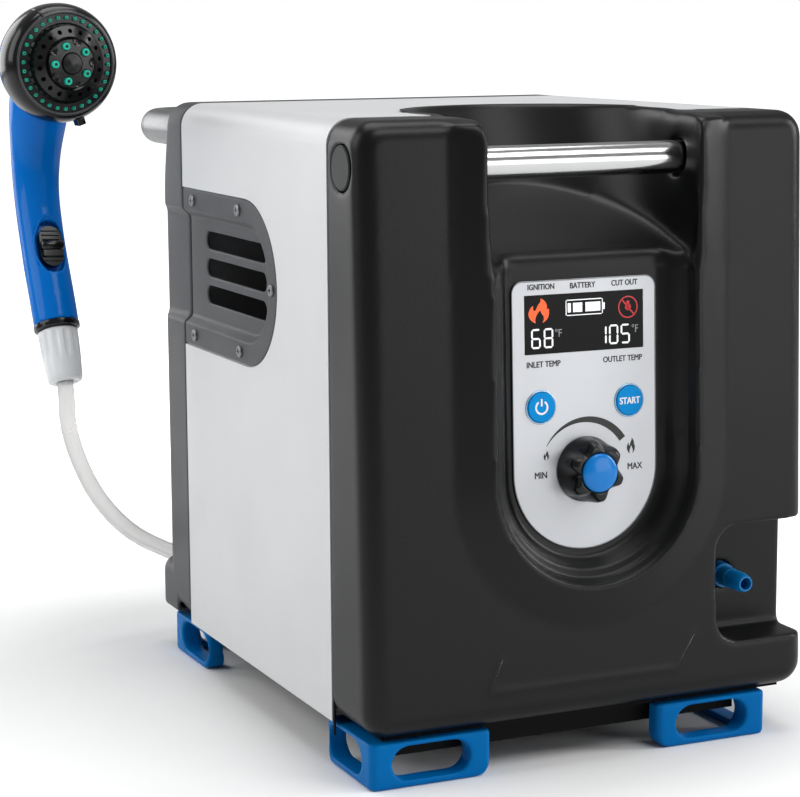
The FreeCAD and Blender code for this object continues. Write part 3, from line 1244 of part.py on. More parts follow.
def head_frame():
    """The same origin with Z out of the spray face."""
    return hand_frame().multiply(Placement(Vector(), Rotation(Vector(1, 0, 0), 90)))


GRIP = [
    # back, up, radius along the grip's middle line
    (43.0, -8.0, 21.0), (50.0, -30.0, 21.5), (53.5, -46.0, 20.2), (56.0, -62.0, 18.4), (56.5, -80.0, 17.1),
    (54.0, -96.0, 16.4), (49.0, -112.0, 16.2), (43.0, -127.0, 16.1), (36.5, -142.0, 16.2),
    (29.0, -157.0, 16.3), (21.0, -173.0, 16.3), (14.5, -186.5, 16.2),
]
GRIP_END = Vector(0, -0.42, -0.9075)


def grip_solid(shrink):
    wires = []
    scale = v("grip_r") / 16.2
    for number, (back, up, radius) in enumerate(GRIP):
        before = GRIP[max(number - 1, 0)]
        after = GRIP[min(number + 1, len(GRIP) - 1)]
        along = Vector(0, after[0] - before[0], after[1] - before[1])
        if number == len(GRIP) - 1:
            along = GRIP_END
        wires.append(Part.Wire(Part.makeCircle(radius * scale - shrink, Vector(0, back, up), along)))
    return Part.makeLoft(wires, True, False)


def grip_end_place(along):
    """A place on the grip's end axis, Z along the axis."""
    back, up, _ = GRIP[-1]
    axis = GRIP_END.normalize()
    turn = Rotation(Vector(0, 0, 1), axis)
    return hand_frame().multiply(Placement(Vector(0, back, up) + axis * along, turn))


SLIDE_AT = Vector(0, 25.6, -131.0)
SLIDE_TURN = Rotation(Vector(1, 0, 0), 90 - 23.0)


def slide_form(length, width, deep, high):
    """A long oval block let into the grip's front, X across and Y up the grip."""
    r = width / 2
    ends = [Part.makeCylinder(r, high - deep, Vector(0, s * (length / 2 - r), deep)) for s in (-1, 1)]
    bar = Part.makeBox(width, length - width, high - deep, Vector(-r, -(length - width) / 2, deep))
    return bar.multiFuse(ends).removeSplitter()


def slide_place():
    return hand_frame().multiply(Placement(SLIDE_AT, SLIDE_TURN))


def handset_body():
    """The blue shell: back of the head, neck and grip."""
    r = v("spigot_r")
    back = spin([(0, -4.2), (r, -4.2), (r, -24.3), (v("head_r") - 2.5, -24.3), (v("head_r") - 4, -33),
                 (31, -45), (18, -54), (0, -57)])
    shape = placed(back, Placement(Vector(), Rotation(Vector(1, 0, 0), 90))).fuse(grip_solid(0))
    recess = placed(slide_form(v("slide_l") + 9, v("slide_w") + 3, -v("slide_deep"), 20),
                    Placement(SLIDE_AT, SLIDE_TURN))
    return node("handset_body", formed(placed(shape.cut(recess), hand_frame())))


def flow_slide():
    """The black ribbed thumb slide in the grip."""
    pad_shape = slide_form(v("slide_l"), v("slide_w"), 0.3 - v("slide_deep"), 1.2)
    low = -v("slide_l") / 2
    corner = Vector(-v("slide_w") / 2 + 1, low + 7, 1.1)
    step = Part.makeBox(v("slide_w") - 2, v("slide_l") / 2.6, 2.2, corner)
    ribs = [Part.makeCylinder(0.7, v("slide_w") - 4, Vector(-v("slide_w") / 2 + 2, low + 4 + 3.2 * k, 1.2),
                              Vector(1, 0, 0)) for k in range(8)]
    shape = pad_shape.multiFuse([step] + ribs).removeSplitter()
    return node("flow_slide", formed(placed(shape, slide_place())))


def spray_dial():
    """The dark ring round the head that picks the spray, with its finger tab."""
    r = v("head_r")
    bore = v("spigot_r") + v("fit_gap")
    ring = spin([(bore, -24), (r - 1.5, -24), (r, -20), (r, -11), (r - 1.6, -4), (r - 4.2, 0), (r - 6.4, 0),
                 (bore, -1.5)])
    tab = placed(Part.makeBox(7, 6, 9, Vector(r - 3, -3, -15)),
                 Placement(Vector(), Rotation(Vector(0, 0, 1), -70)))
    return node("spray_dial", formed(placed(ring.fuse(tab), head_frame())))


def ring_places(count, radius, start):
    for step in range(count):
        angle = math.radians(start + 360 * step / count)
        yield Vector(radius * math.cos(angle), radius * math.sin(angle), 0)


def spray_face():
    """The dark spray plate: outer jets, a raised ring of holes and a domed middle."""
    r = v("spigot_r") - 0.2
    plate = spin([(0, -4), (r, -4), (r, -1.2), (28.4, -0.6), (27.4, 0.6), (26.2, 5.2), (18.8, 8.8),
                  (17.4, 8.0), (16.6, 10.6), (8.0, 11.2), (7.2, 10.8), (6.9, 12.2), (0, 13)])
    tools = [Part.makeCylinder(v("jet_r"), 20, at + Vector(0, 0, -2))
             for at in ring_places(32, v("jet_ring_r"), 0)]
    tools += [Part.makeCylinder(v("hole_r"), 20, at + Vector(0, 0, 2))
              for at in ring_places(18, v("hole_ring_r"), 10)]
    tools += [Part.makeCylinder(v("big_jet_r"), 20, at + Vector(0, 0, 7))
              for at in ring_places(5, v("big_jet_ring_r"), 40)]
    tools += [Part.makeSphere(4.6, at + Vector(0, 0, 13.2)) for at in ring_places(5, 16.6, 4)]
    return node("spray_face", formed(placed(plate.cut(tools), head_frame())))


def spray_jets():
    """The soft green jets of the outer and the inner ring."""
    r = v("jet_r")
    small = spin([(0, -2), (r, -2), (r, 0), (r - 0.5, 1.1), (0.5, 1.1), (0.5, -0.6), (0, -0.6)])
    r = v("big_jet_r")
    large = spin([(0, 7), (r, 7), (r, 12), (r - 0.9, 13.4), (0.8, 13.4), (0.8, 11), (0, 11)])
    jets = []
    for jet, count, ring, start in [(small, 32, "jet_ring_r", 0), (large, 5, "big_jet_ring_r", 40)]:
        jets += [placed(jet.copy(), Placement(at, Rotation())) for at in ring_places(count, v(ring), start)]
    return node("spray_jets", formed(placed(Part.makeCompound(jets), head_frame())))


def grip_ring():
    """The black ring that closes the grip, and the spigot that carries the hose."""
    r = v("grip_r")
    spigot = v("grip_spigot_r")
    end = v("grip_spigot_l")
    shape = spin([(0, 0), (r + 0.3, 0), (r + 0.5, 1.5), (r + 0.3, 3.6), (r - 1.6, 4.6), (spigot, 4.6),
                  (spigot, end), (0, end)])
    return node("grip_ring", formed(placed(shape, grip_end_place(0))))


def hose_nut():
    """The pale ribbed nut that holds the hose on the grip; it swivels on the grip's spigot."""
    bore = v("grip_spigot_r") + v("fit_gap")
    mouth = v("hose_r") + v("nut_gap")
    inner = v("grip_spigot_l") - 1
    r = v("nut_r")
    end = v("nut_l")
    outline = [(bore, 4.9), (r, 4.9), (r - 0.2, 9), (r - 2.2, end - 5.5), (r - 1.5, end - 4),
               (r - 1.5, end - 1.5), (r - 2.9, end), (mouth, end), (mouth, inner), (bore, inner)]
    shape = spin(outline)
    grooves = []
    for step in range(12):
        groove = Part.makeCylinder(1.0, 22, Vector(15.1, 0, 11), Vector(-1.75, 0, 25))
        grooves.append(placed(groove, Placement(Vector(), Rotation(Vector(0, 0, 1), 30 * step + 15))))
    return node("hose_nut", formed(placed(shape.cut(grooves), grip_end_place(0))))


def hand_shower():
    handset_body()
    flow_slide()
    spray_dial()
    spray_face()
    spray_jets()
    grip_ring()
    hose_nut()


# ---- hose -------------------------------------------------------------------------------------

# the hose from the hand shower down to the coil, then from the coil to the outlet
HOSE_DOWN = [(-227.2, 192.5, 174.6), (-221.3, 189.5, 147.8), (-204.2, 197.5, 114.4), (-174.7, 214.0, 83.0),
             (-138.5, 230.5, 62.2), (-96.0, 244.0, 41.0), (-60.0, 255.5, 22.5), (-24.0, 264.6, 9.8)]
HOSE_UP = [(-32.0, 325.0, 18.3), (-32.0, 310.3, 21.5), (-32.0, 296.5, 27.7), (-32.0, 284.5, 36.6),
           (-32.0, 270.7, 42.8), (-32.0, 256.0, 46.0)]


def hose():
    """The hose in three nodes: down from the hand shower, the coil, up to the outlet."""
    r = v("hose_r")
    gap = v("turn_gap")
    low = r + 0.2
    step = 2 * r + gap
    outer = v("coil_r") + r
    down = [grip_end_place(v("grip_spigot_l")).Base, grip_end_place(v("nut_l") + 4.5).Base]
    down += [Vector(*point) for point in HOSE_DOWN]
    down += [Vector(v("coil_x") - 5 * r, v("coil_y") - outer + 0.4, low),
             Vector(v("coil_x"), v("coil_y") - outer, low)]
    up = [Vector(v("coil_x") - outer, v("coil_y"), low - 0.2 + step)]
    up += [Vector(*point) for point in HOSE_UP]
    up.append(Vector(v("outlet_x"), v("bumper_y") + 2 * v("port_out"), v("port_z")))
    for label, points in [("hose_down", down), ("hose_up", up)]:
        path, radii = tube_path(points)
        shape = swept(path, r)
        check_tube(label, shape, path, math.pi * r ** 2)
        print(label, "length", round(path.Length), "radii", [round(x) for x in radii])
        node(label, formed(shape))
    tall = "4 * hose_r + 2 * turn_gap"
    ring = rod(("coil_x", "coil_y", "0.2"), "coil_r + 2 * hose_r + 0.2", tall)
    hole = rod(("coil_x", "coil_y", "-1"), "coil_r - 2 * hose_r - 0.2", f"{tall} + 4")
    node("hose_coil", cut(ring, hole))
    print("coil length", round(2 * math.pi * v("coil_r") * v("coil_turns")))


def hose_connector():
    """The blue union nut and tail that hold the hose on the outlet."""
    r = v("port_r")
    out = v("port_out")
    outline = [(r, 1.5), (r + 3.6, 1.5), (r + 3.6, 13), (r + 2.2, 15), (r - 0.5, 16), (v("hose_r") + 2, 18),
               (v("hose_r") + 1.4, out + 24), (v("hose_r"), out + 24), (v("hose_r"), out), (r, out)]
    shape = spin(outline)
    flats = []
    for k in range(6):
        flat = Part.makeBox(4, 16, 10, Vector(r + 2.6, -8, 2.5))
        flats.append(placed(flat, Placement(Vector(), Rotation(Vector(0, 0, 1), 60 * k))))
    place = Placement(Vector(v("outlet_x"), v("bumper_y"), v("port_z")), TURNS["Y"])
    return node("hose_connector", formed(placed(shape.cut(flats), place)))


# ---- the whole object -------------------------------------------------------------------------

front_cover()
wrap_panel()
vent_grille()
vent_frame()
vent_screws()
rear_cover()
base_pan()
feet()
front_handle()
handle_cap("handle_cap_left", -1)
handle_cap("handle_cap_right", 1)
rear_handle()
handle_bracket("handle_bracket_left", -1)
handle_bracket("handle_bracket_right", 1)
controls()
fittings()
inside()
hand_shower()
hose()
hose_connector()
doc.recompute()

for obj in doc.Objects:
    if "Invalid" in obj.State or "Error" in obj.State:
        raise RuntimeError(obj.Name + " failed: " + str(obj.State))
os.makedirs("parts", exist_ok=True)
for label, obj in NODES.items():
    if obj.Shape.isNull() or not obj.Shape.isValid():
        raise RuntimeError(label + " has no valid shape")
    print(label, len(obj.Shape.Solids), round(obj.Shape.Volume / 1000, 2))
for label, obj in NODES.items():
    obj.Shape.exportStep(f"parts/{label}.step")
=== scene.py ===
import math

import bmesh
import bpy
from mathutils import Matrix, Vector


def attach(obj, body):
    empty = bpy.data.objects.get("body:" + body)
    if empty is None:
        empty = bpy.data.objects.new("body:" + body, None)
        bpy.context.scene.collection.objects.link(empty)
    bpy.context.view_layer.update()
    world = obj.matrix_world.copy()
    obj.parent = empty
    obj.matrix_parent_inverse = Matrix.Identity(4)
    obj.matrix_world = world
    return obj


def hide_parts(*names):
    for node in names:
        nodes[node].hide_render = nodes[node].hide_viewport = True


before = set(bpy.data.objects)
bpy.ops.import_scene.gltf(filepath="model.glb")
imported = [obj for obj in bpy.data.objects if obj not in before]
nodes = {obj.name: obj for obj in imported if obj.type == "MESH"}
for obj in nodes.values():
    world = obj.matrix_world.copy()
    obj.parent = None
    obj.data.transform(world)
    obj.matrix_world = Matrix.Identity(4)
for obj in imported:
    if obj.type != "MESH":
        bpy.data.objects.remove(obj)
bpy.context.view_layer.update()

scene = bpy.context.scene
scene.view_settings.view_transform = "Standard"
caseShift = Vector((53.1, -48.2, 0.0))  # the case's own centre in the frame, mm


def at(x, y, z):
    # a place given in millimetres from the middle of the case's floor print
    return (Vector((x, y, z)) + caseShift) / 1000


def clamped(value):
    return min(1, max(0, value))


def offPitch(angle, pitch):
    # how far an angle is from the nearest multiple of a pitch
    return abs((angle + pitch / 2) % pitch - pitch / 2)


def filled(node, values):
    # sets plain values on a node's own sockets
    for socket, value in values.items():
        node.inputs[socket].default_value = value
    return node


def added(tree, kind, **settings):
    node = tree.nodes.new("ShaderNode" + kind)
    for key, value in settings.items():
        setattr(node, key, value)
    return node


def shown(name, data):
    piece = bpy.data.objects.new(name, data)
    scene.collection.objects.link(piece)
    return piece


def opened(data):
    # takes a mesh into a bmesh
    bm = bmesh.new()
    bm.from_mesh(data)
    bpy.data.meshes.remove(data)
    return bm


def closed(bm, name):
    # writes a bmesh out as a new mesh
    data = bpy.data.meshes.new(name)
    bm.to_mesh(data)
    bm.free()
    return data


def evaluated(draft):
    # the mesh that an object shows, without the object
    bpy.context.view_layer.update()
    data = bpy.data.meshes.new_from_object(draft.evaluated_get(bpy.context.evaluated_depsgraph_get()))
    bpy.data.objects.remove(draft)
    return data


cameraSetup = {"place": (-685.8, -1404.0, 461.8), "turn": 24.268, "down": 9.397, "roll": -0.309,
               "lens": 105.14, "sensor": 36, "far": 200}


def aimedMatrix(place, turn, down, roll):
    # turn is measured from +Y towards +X, down below the horizon, in degrees
    y, p, r = math.radians(turn), math.radians(down), math.radians(roll)
    ahead = Vector((math.sin(y) * math.cos(p), math.cos(y) * math.cos(p), -math.sin(p)))
    side = Vector((math.cos(y), -math.sin(y), 0))
    up = side.cross(ahead)
    right = math.cos(r) * side + math.sin(r) * up
    top = -math.sin(r) * side + math.cos(r) * up
    return Matrix.Translation(place) @ Matrix((right, top, -ahead)).transposed().to_4x4()


def makeCamera():
    size = cameraSetup
    lens = bpy.data.cameras.new("camera")
    lens.sensor_fit = "HORIZONTAL"
    lens.sensor_width = size["sensor"]
    lens.lens = size["lens"]
    lens.clip_end = size["far"]
    camera = shown("camera", lens)
    camera.matrix_world = aimedMatrix(at(*size["place"]), size["turn"], size["down"], size["roll"])
    scene.camera = camera


# each lamp: direction from the object, distance, width, height, level on a facing surface
lamps = {
    "sideWindow": ((-0.90, 0.16, 0.46), 2.3, 1.4, 1.6, 0.36),
    "backWindow": ((-0.48, 0.86, 0.30), 2.4, 1.4, 1.6, 0.34),
    "frontHigh": ((0.30, -0.66, 0.86), 2.8, 1.7, 1.1, 0.31),
    "frontSheen": ((0.50, -0.85, 0.10), 2.8, 1.3, 1.1, 0.15),
    "rightStrip": ((0.92, -0.40, 0.36), 2.6, 0.6, 1.6, 0.46),
    "overhead": ((0.05, 0.10, 1.0), 2.4, 1.8, 1.8, 0.60),
}
middle = at(0, 0, 220)
studio = {
    "lit": (0.15, 0.152, 0.155, 1), "mirrorShare": 0.18,
    "paper": (0.93, 0.93, 0.93, 1), "paperRough": 0.9, "floorSize": 60, "whiteFrom": 0.27, "whiteTo": 0.90,
}


def makeLamps():
    for name, (toward, far, width, height, level) in lamps.items():
        data = bpy.data.lights.new(name, "AREA")
        data.shape = "RECTANGLE"
        data.size, data.size_y = width, height
        data.energy = level * math.pi ** 2 * far ** 2
        lamp = shown(name, data)
        direction = Vector(toward).normalized()
        lamp.location = middle + direction * far
        lamp.rotation_euler = direction.to_track_quat("Z", "Y").to_euler()
        lamp.visible_camera = False


def makeWorld():
    # white where the camera or clear plastic sees it, dim grey as a light
    world = bpy.data.worlds.new("studio")
    scene.world = world
    world.use_nodes = True
    tree = world.node_tree
    tree.nodes.clear()
    path = added(tree, "LightPath")
    seen = filled(added(tree, "Background"), {"Color": (1, 1, 1, 1)})
    lit = filled(added(tree, "Background"), {"Color": studio["lit"]})
    direct = added(tree, "Math", operation="MAXIMUM")
    mirror = filled(added(tree, "Math", operation="MULTIPLY"), {1: studio["mirrorShare"]})
    share = added(tree, "Math", operation="MAXIMUM")
    mix = added(tree, "MixShader")
    out = added(tree, "OutputWorld")
    link = tree.links.new
    link(path.outputs["Is Camera Ray"], direct.inputs[0])
    link(path.outputs["Is Transmission Ray"], direct.inputs[1])
    link(path.outputs["Is Glossy Ray"], mirror.inputs[0])
    link(direct.outputs[0], share.inputs[0])
    link(mirror.outputs[0], share.inputs[1])
    link(share.outputs[0], mix.inputs[0])
    link(lit.outputs[0], mix.inputs[1])
    link(seen.outputs[0], mix.inputs[2])
    link(mix.outputs[0], out.inputs[0])


def makeFloor():
    # pale paper that runs off into plain white
    bm = bmesh.new()
    bmesh.ops.create_grid(bm, x_segments=1, y_segments=1, size=studio["floorSize"])
    data = closed(bm, "floor")
    floor = shown("floor", data)
    skin = bpy.data.materials.new("floorPaper")
    skin.use_nodes = True
    tree = skin.node_tree
    shader = filled(tree.nodes["Principled BSDF"],
                    {"Base Color": studio["paper"], "Roughness": studio["paperRough"],
                     "Emission Color": (1, 1, 1, 1)})
    path = added(tree, "LightPath")
    place = added(tree, "TexCoord")
    away = added(tree, "VectorMath", operation="LENGTH")
    rise = filled(added(tree, "MapRange"),
                  {"From Min": studio["whiteFrom"], "From Max": studio["whiteTo"]})
    some = added(tree, "Math", operation="MULTIPLY")
    link = tree.links.new
    link(place.outputs["Object"], away.inputs[0])
    link(away.outputs["Value"], rise.inputs["Value"])
    link(path.outputs["Is Camera Ray"], some.inputs[0])
    link(rise.outputs["Result"], some.inputs[1])
    link(some.outputs[0], shader.inputs["Emission Strength"])
    data.materials.append(skin)


makeCamera()
makeLamps()
makeWorld()
makeFloor()
print("stage set")


def rgb(hexCode):
    # an sRGB colour as Blender's linear values
    values = [int(hexCode[k:k + 2], 16) / 255 for k in (0, 2, 4)]
    return tuple(c / 12.92 if c <= 0.04045 else ((c + 0.055) / 1.055) ** 2.4 for c in values) + (1,)


def newGroup(name, inputs, outputs):
    group = bpy.data.node_groups.new(name, "ShaderNodeTree")
    for label, kind, value in inputs:
        socket = group.interface.new_socket(label, in_out="INPUT", socket_type="NodeSocket" + kind)
        if value is not None:
            socket.default_value = value
    for label, kind in outputs:
        group.interface.new_socket(label, in_out="OUTPUT", socket_type="NodeSocket" + kind)
    return group


def mouldedSkin():
    # fine spark-eroded grain with slow tone drift and a few rubbed specks
    group = newGroup("mouldedSkin",
                     [("Grain", "Float", 900.0), ("Depth", "Float", 0.00006), ("Drift", "Float", 9.0)],
                     [("Tone", "Float"), ("Rub", "Float"), ("Normal", "Vector")])
    enter, leave = group.nodes.new("NodeGroupInput"), group.nodes.new("NodeGroupOutput")
    place = added(group, "TexCoord")
    grain = filled(added(group, "TexNoise"), {"Detail": 3})
    cells = filled(added(group, "TexVoronoi"), {"Randomness": 1})
    drift = filled(added(group, "TexNoise"), {"Detail": 4})
    rub = filled(added(group, "TexNoise"), {"Scale": 62, "Detail": 6, "Roughness": 0.7})
    mix = added(group, "Math", operation="ADD")
    bump = filled(added(group, "Bump"), {"Strength": 1})
    edge = filled(added(group, "MapRange"), {"From Min": 0.62, "From Max": 0.82})
    link = group.links.new
    for node in (grain, cells, drift, rub):
        link(place.outputs["Object"], node.inputs["Vector"])
    link(enter.outputs["Grain"], grain.inputs["Scale"])
    link(enter.outputs["Grain"], cells.inputs["Scale"])
    link(enter.outputs["Drift"], drift.inputs["Scale"])
    link(grain.outputs["Fac"], mix.inputs[0])
    link(cells.outputs["Distance"], mix.inputs[1])
    link(mix.outputs[0], bump.inputs["Height"])
    link(enter.outputs["Depth"], bump.inputs["Distance"])
    link(drift.outputs["Fac"], leave.inputs["Tone"])
    link(rub.outputs["Fac"], edge.inputs["Value"])
    link(edge.outputs["Result"], leave.inputs["Rub"])
    link(bump.outputs["Normal"], leave.inputs["Normal"])
    return group


def drawnMetal():
    # fine lines along one direction, with broader tone bands across them
    group = newGroup("drawnMetal",
                     [("Stretch", "Vector", (1.0, 1.0, 1.0)), ("Fine", "Float", 700.0),
                      ("Depth", "Float", 0.00002)],
                     [("Tone", "Float"), ("Streak", "Float"), ("Normal", "Vector")])
    enter, leave = group.nodes.new("NodeGroupInput"), group.nodes.new("NodeGroupOutput")
    place = added(group, "TexCoord")
    stretch = added(group, "VectorMath", operation="MULTIPLY")
    lines = filled(added(group, "TexNoise"), {"Detail": 5})
    tone = filled(added(group, "TexNoise"), {"Scale": 11, "Detail": 3})
    bump = added(group, "Bump")
    link = group.links.new
    link(place.outputs["Object"], stretch.inputs[0])
    link(enter.outputs["Stretch"], stretch.inputs[1])
    link(stretch.outputs[0], lines.inputs["Vector"])
    link(enter.outputs["Fine"], lines.inputs["Scale"])
    link(place.outputs["Object"], tone.inputs["Vector"])
    link(lines.outputs["Fac"], bump.inputs["Height"])
    link(enter.outputs["Depth"], bump.inputs["Distance"])
    link(tone.outputs["Fac"], leave.inputs["Tone"])
    link(lines.outputs["Fac"], leave.inputs["Streak"])
    link(bump.outputs["Normal"], leave.inputs["Normal"])
    return group


skinGroup = mouldedSkin()
metalGroup = drawnMetal()


def blankFinish(name, group, **values):
    # a new material, and in it one of the shared groups with its own values
    finish = bpy.data.materials.new(name)
    finish.use_nodes = True
    tree = finish.node_tree
    placed = filled(added(tree, "Group", node_tree=group), values)
    return finish, tree, tree.nodes["Principled BSDF"], placed


def blended(tree, factor, first, second):
    mix = filled(added(tree, "Mix", data_type="RGBA"), {"A": first, "B": second})
    tree.links.new(factor, mix.inputs["Factor"])
    return mix.outputs["Result"]


def ranged(tree, value, low, high, start=0.3, end=0.7):
    node = filled(added(tree, "MapRange"),
                  {"From Min": start, "From Max": end, "To Min": low, "To Max": high})
    tree.links.new(value, node.inputs["Value"])
    return node.outputs["Result"]


def coated(shader, coat, rough):
    if coat:
        filled(shader, {"Coat Weight": coat, "Coat Roughness": rough})


def plasticFinish(name, colour, other, rough=(0.42, 0.52), grain=900.0, depth=0.00006, drift=9.0,
                  coat=0.0, specular=0.3, rubbed=None):
    finish, tree, shader, skin = blankFinish(name, skinGroup, Grain=grain, Depth=depth, Drift=drift)
    tone = blended(tree, ranged(tree, skin.outputs["Tone"], 0, 1), rgb(colour), rgb(other))
    if rubbed:
        wear = filled(added(tree, "Mix", data_type="RGBA"), {"B": rgb(rubbed)})
        tree.links.new(tone, wear.inputs["A"])
        tree.links.new(ranged(tree, skin.outputs["Rub"], 0, 0.35, 0, 1), wear.inputs["Factor"])
        tone = wear.outputs["Result"]
    tree.links.new(tone, shader.inputs["Base Color"])
    tree.links.new(ranged(tree, skin.outputs["Tone"], *rough), shader.inputs["Roughness"])
    tree.links.new(skin.outputs["Normal"], shader.inputs["Normal"])
    filled(shader, {"Specular IOR Level": specular})
    coated(shader, coat, 0.08)
    return finish


def metalFinish(name, colour, other, rough=(0.25, 0.35), stretch=(1, 1, 1), fine=700.0, depth=0.00002,
                metallic=1.0, coat=0.0):
    finish, tree, shader, drawn = blankFinish(name, metalGroup, Stretch=stretch, Fine=fine, Depth=depth)
    tone = blended(tree, ranged(tree, drawn.outputs["Tone"], 0, 1), rgb(colour), rgb(other))
    tree.links.new(tone, shader.inputs["Base Color"])
    tree.links.new(ranged(tree, drawn.outputs["Streak"], *rough), shader.inputs["Roughness"])
    tree.links.new(drawn.outputs["Normal"], shader.inputs["Normal"])
    filled(shader, {"Metallic": metallic})
    coated(shader, coat, 0.12)
    return finish


coverBlack = plasticFinish("coverBlack", "060607", "040505", (0.31, 0.37), 1300, 0.00003, 7,
                           specular=0.26, rubbed="151618")
rearGrey = plasticFinish("rearGrey", "424447", "3a3c3f", (0.38, 0.46), 1100, 0.00005, 8)
ventGrey = plasticFinish("ventGrey", "3a3b3d", "323436", (0.36, 0.44), 1200, 0.00004, 10)
caseSilver = metalFinish("caseSilver", "d4d5d6", "cecfd0", (0.44, 0.52), (1, 1, 1), 2600, 0.00001, 0.25)
barSteel = metalFinish("barSteel", "d6d6d5", "c8c9c9", (0.12, 0.2), (0.06, 1, 1), 1500, 0.00001)
loopSteel = metalFinish("loopSteel", "8f9091", "858687", (0.32, 0.42), (1, 0.3, 1), 1500, 0.00001)
panBlack = plasticFinish("panBlack", "060607", "09090a", (0.5, 0.64), 500, 0.00008, 12, specular=0.1,
                         rubbed="101113")
footBlue = plasticFinish("footBlue", "006cb2", "0063a6", (0.26, 0.34), 900, 0.00004, 12, specular=0.05,
                         rubbed="0678be")
buttonBlue = plasticFinish("buttonBlue", "0092dc", "008ad2", (0.26, 0.32), 1500, 0.00001, 30,
                           specular=0.08)
capBlue = plasticFinish("capBlue", "0078ca", "0070c0", (0.2, 0.28), 1500, 0.00001, 30, 0.3, 0.2)
nippleBlue = plasticFinish("nippleBlue", "0074b4", "006aa8", (0.3, 0.4), 1200, 0.00003, 20, coat=0.1)
knobBlack = plasticFinish("knobBlack", "08090a", "0b0c0d", (0.2, 0.28), 1500, 0.00002, 20, coat=0.1)
smallBlack = plasticFinish("smallBlack", "141516", "1a1b1c", (0.4, 0.5), 1200, 0.00004, 20)
fasciaSilver = metalFinish("fasciaSilver", "cfd1d5", "c8cace", (0.36, 0.44), (0.05, 1, 1), 3200,
                           0.00001, 0.3, 0.1)
lcdBlack = plasticFinish("lcdBlack", "030304", "050506", (0.2, 0.26), 300, 0.0, 5, specular=0.12)
boardGreen = plasticFinish("boardGreen", "1d5a35", "184c2d", (0.4, 0.5), 500, 0.00002, 40)
brassYellow = metalFinish("brassYellow", "c9a45a", "b8934c", (0.24, 0.38), (1, 0.2, 1), 900, 0.00003)
copperRed = metalFinish("copperRed", "c98a66", "b87653", (0.28, 0.42), (1, 1, 1), 500, 0.00003)
galvanised = metalFinish("galvanised", "a9acae", "95989a", (0.34, 0.5), (1, 1, 1), 240, 0.00003)
zincScrew = metalFinish("zincScrew", "8d8f91", "7a7c7e", (0.28, 0.4), (1, 1, 1), 1200, 0.00002)
handBlue = plasticFinish("handBlue", "0072d0", "006ac4", (0.2, 0.26), 500, 0.0, 6, 0.2, 0.04)
handDark = plasticFinish("handDark", "0c0c0d", "090a0b", (0.16, 0.22), 1300, 0.00001, 20, 0.2)
jetTeal = plasticFinish("jetTeal", "1fbfa2", "17a98f", (0.4, 0.5), 1500, 0.00002, 60)
paleNut = plasticFinish("paleNut", "e9ebed", "e0e3e5", (0.22, 0.3), 1300, 0.00002, 20, coat=0.3)
cellWrap = plasticFinish("cellWrap", "2d4f9c", "26458b", (0.25, 0.35), 600, 0.00001, 30)
pumpBlack = metalFinish("pumpBlack", "2b2d30", "232527", (0.35, 0.5), (1, 1, 1), 800, 0.00002, 0.4)
ceramicWhite = plasticFinish("ceramicWhite", "d9d4c6", "cfc9ba", (0.15, 0.25), 500, 0.00001, 40, 0.5)

finishOf = {
    "front_cover": coverBlack, "wrap_panel": caseSilver, "rear_cover": rearGrey, "vent_grille": ventGrey,
    "vent_frame": galvanised, "vent_screws": zincScrew, "base_pan": panBlack, "base_plate": panBlack,
    "front_handle": barSteel, "rear_handle": loopSteel, "handle_cap_left": smallBlack,
    "handle_cap_right": smallBlack, "handle_bracket_left": galvanised, "handle_bracket_right": galvanised,
    "control_fascia": fasciaSilver, "lcd_window": lcdBlack, "lcd_module": smallBlack,
    "control_board": boardGreen, "power_button": buttonBlue, "start_button": buttonBlue,
    "control_knob": knobBlack, "knob_cap": capBlue, "gas_valve": brassYellow, "hose_nipple": nippleBlue,
    "water_outlet": brassYellow, "water_inlet": brassYellow, "gas_inlet": brassYellow,
    "charge_socket": smallBlack, "combustion_chamber": galvanised, "burner": galvanised,
    "heat_exchanger": copperRed, "exhaust_hood": galvanised, "igniter": ceramicWhite,
    "fan_housing": galvanised, "fan_rotor": smallBlack, "battery_pack": cellWrap, "water_pump": pumpBlack,
    "flow_sensor": smallBlack, "suction_pipe": copperRed, "cold_pipe": copperRed, "hot_pipe": copperRed,
    "gas_pipe": copperRed, "burner_pipe": copperRed, "handset_body": handBlue, "flow_slide": handDark,
    "spray_dial": handDark, "spray_face": handDark, "spray_jets": jetTeal, "grip_ring": handDark,
    "hose_nut": paleNut, "hose_connector": nippleBlue, "foot_front_left": footBlue,
    "foot_front_right": footBlue, "foot_rear_left": footBlue, "foot_rear_right": footBlue,
}
for label, finish in finishOf.items():
    for slot in nodes[label].material_slots:
        slot.material = finish
print("finishes made")

hoseRoute = {
    "thick": 12.0,
    "down": [(-225.1, 211.5, 225.5), (-224.8, 198.5, 197.4), (-227.2, 192.5, 174.6), (-221.3, 189.5, 147.8),
             (-204.2, 197.5, 114.4), (-174.7, 214.0, 83.0), (-138.5, 230.5, 62.2), (-96.0, 244.0, 41.0),
             (-60.0, 255.5, 22.5), (-24.0, 264.6, 9.8), (10.0, 268.0, 6.4)],
    "up": [(-44.2, 324.0, 18.8), (-40.0, 309.0, 22.0), (-34.0, 296.5, 28.5), (-32.0, 284.5, 37.0),
           (-32.0, 270.7, 43.2), (-32.0, 256.0, 46.0), (-32.0, 241.0, 46.0)],
    "middle": (40.0, 340.0), "steps": 16, "turns": 3.75, "exit": (-32, 241, 46), "length": 2.07,
    # turn at which each radius and height is reached
    "radii": [(0, 72.0), (0.86, 72.0), (0.98, 59.7), (2.52, 59.7), (2.68, 72.0), (3.52, 72.0), (3.68, 84.3),
              (3.75, 84.3)],
    "heights": [(0, 6.2), (1.70, 6.2), (1.84, 18.6), (3.75, 18.6)],
}


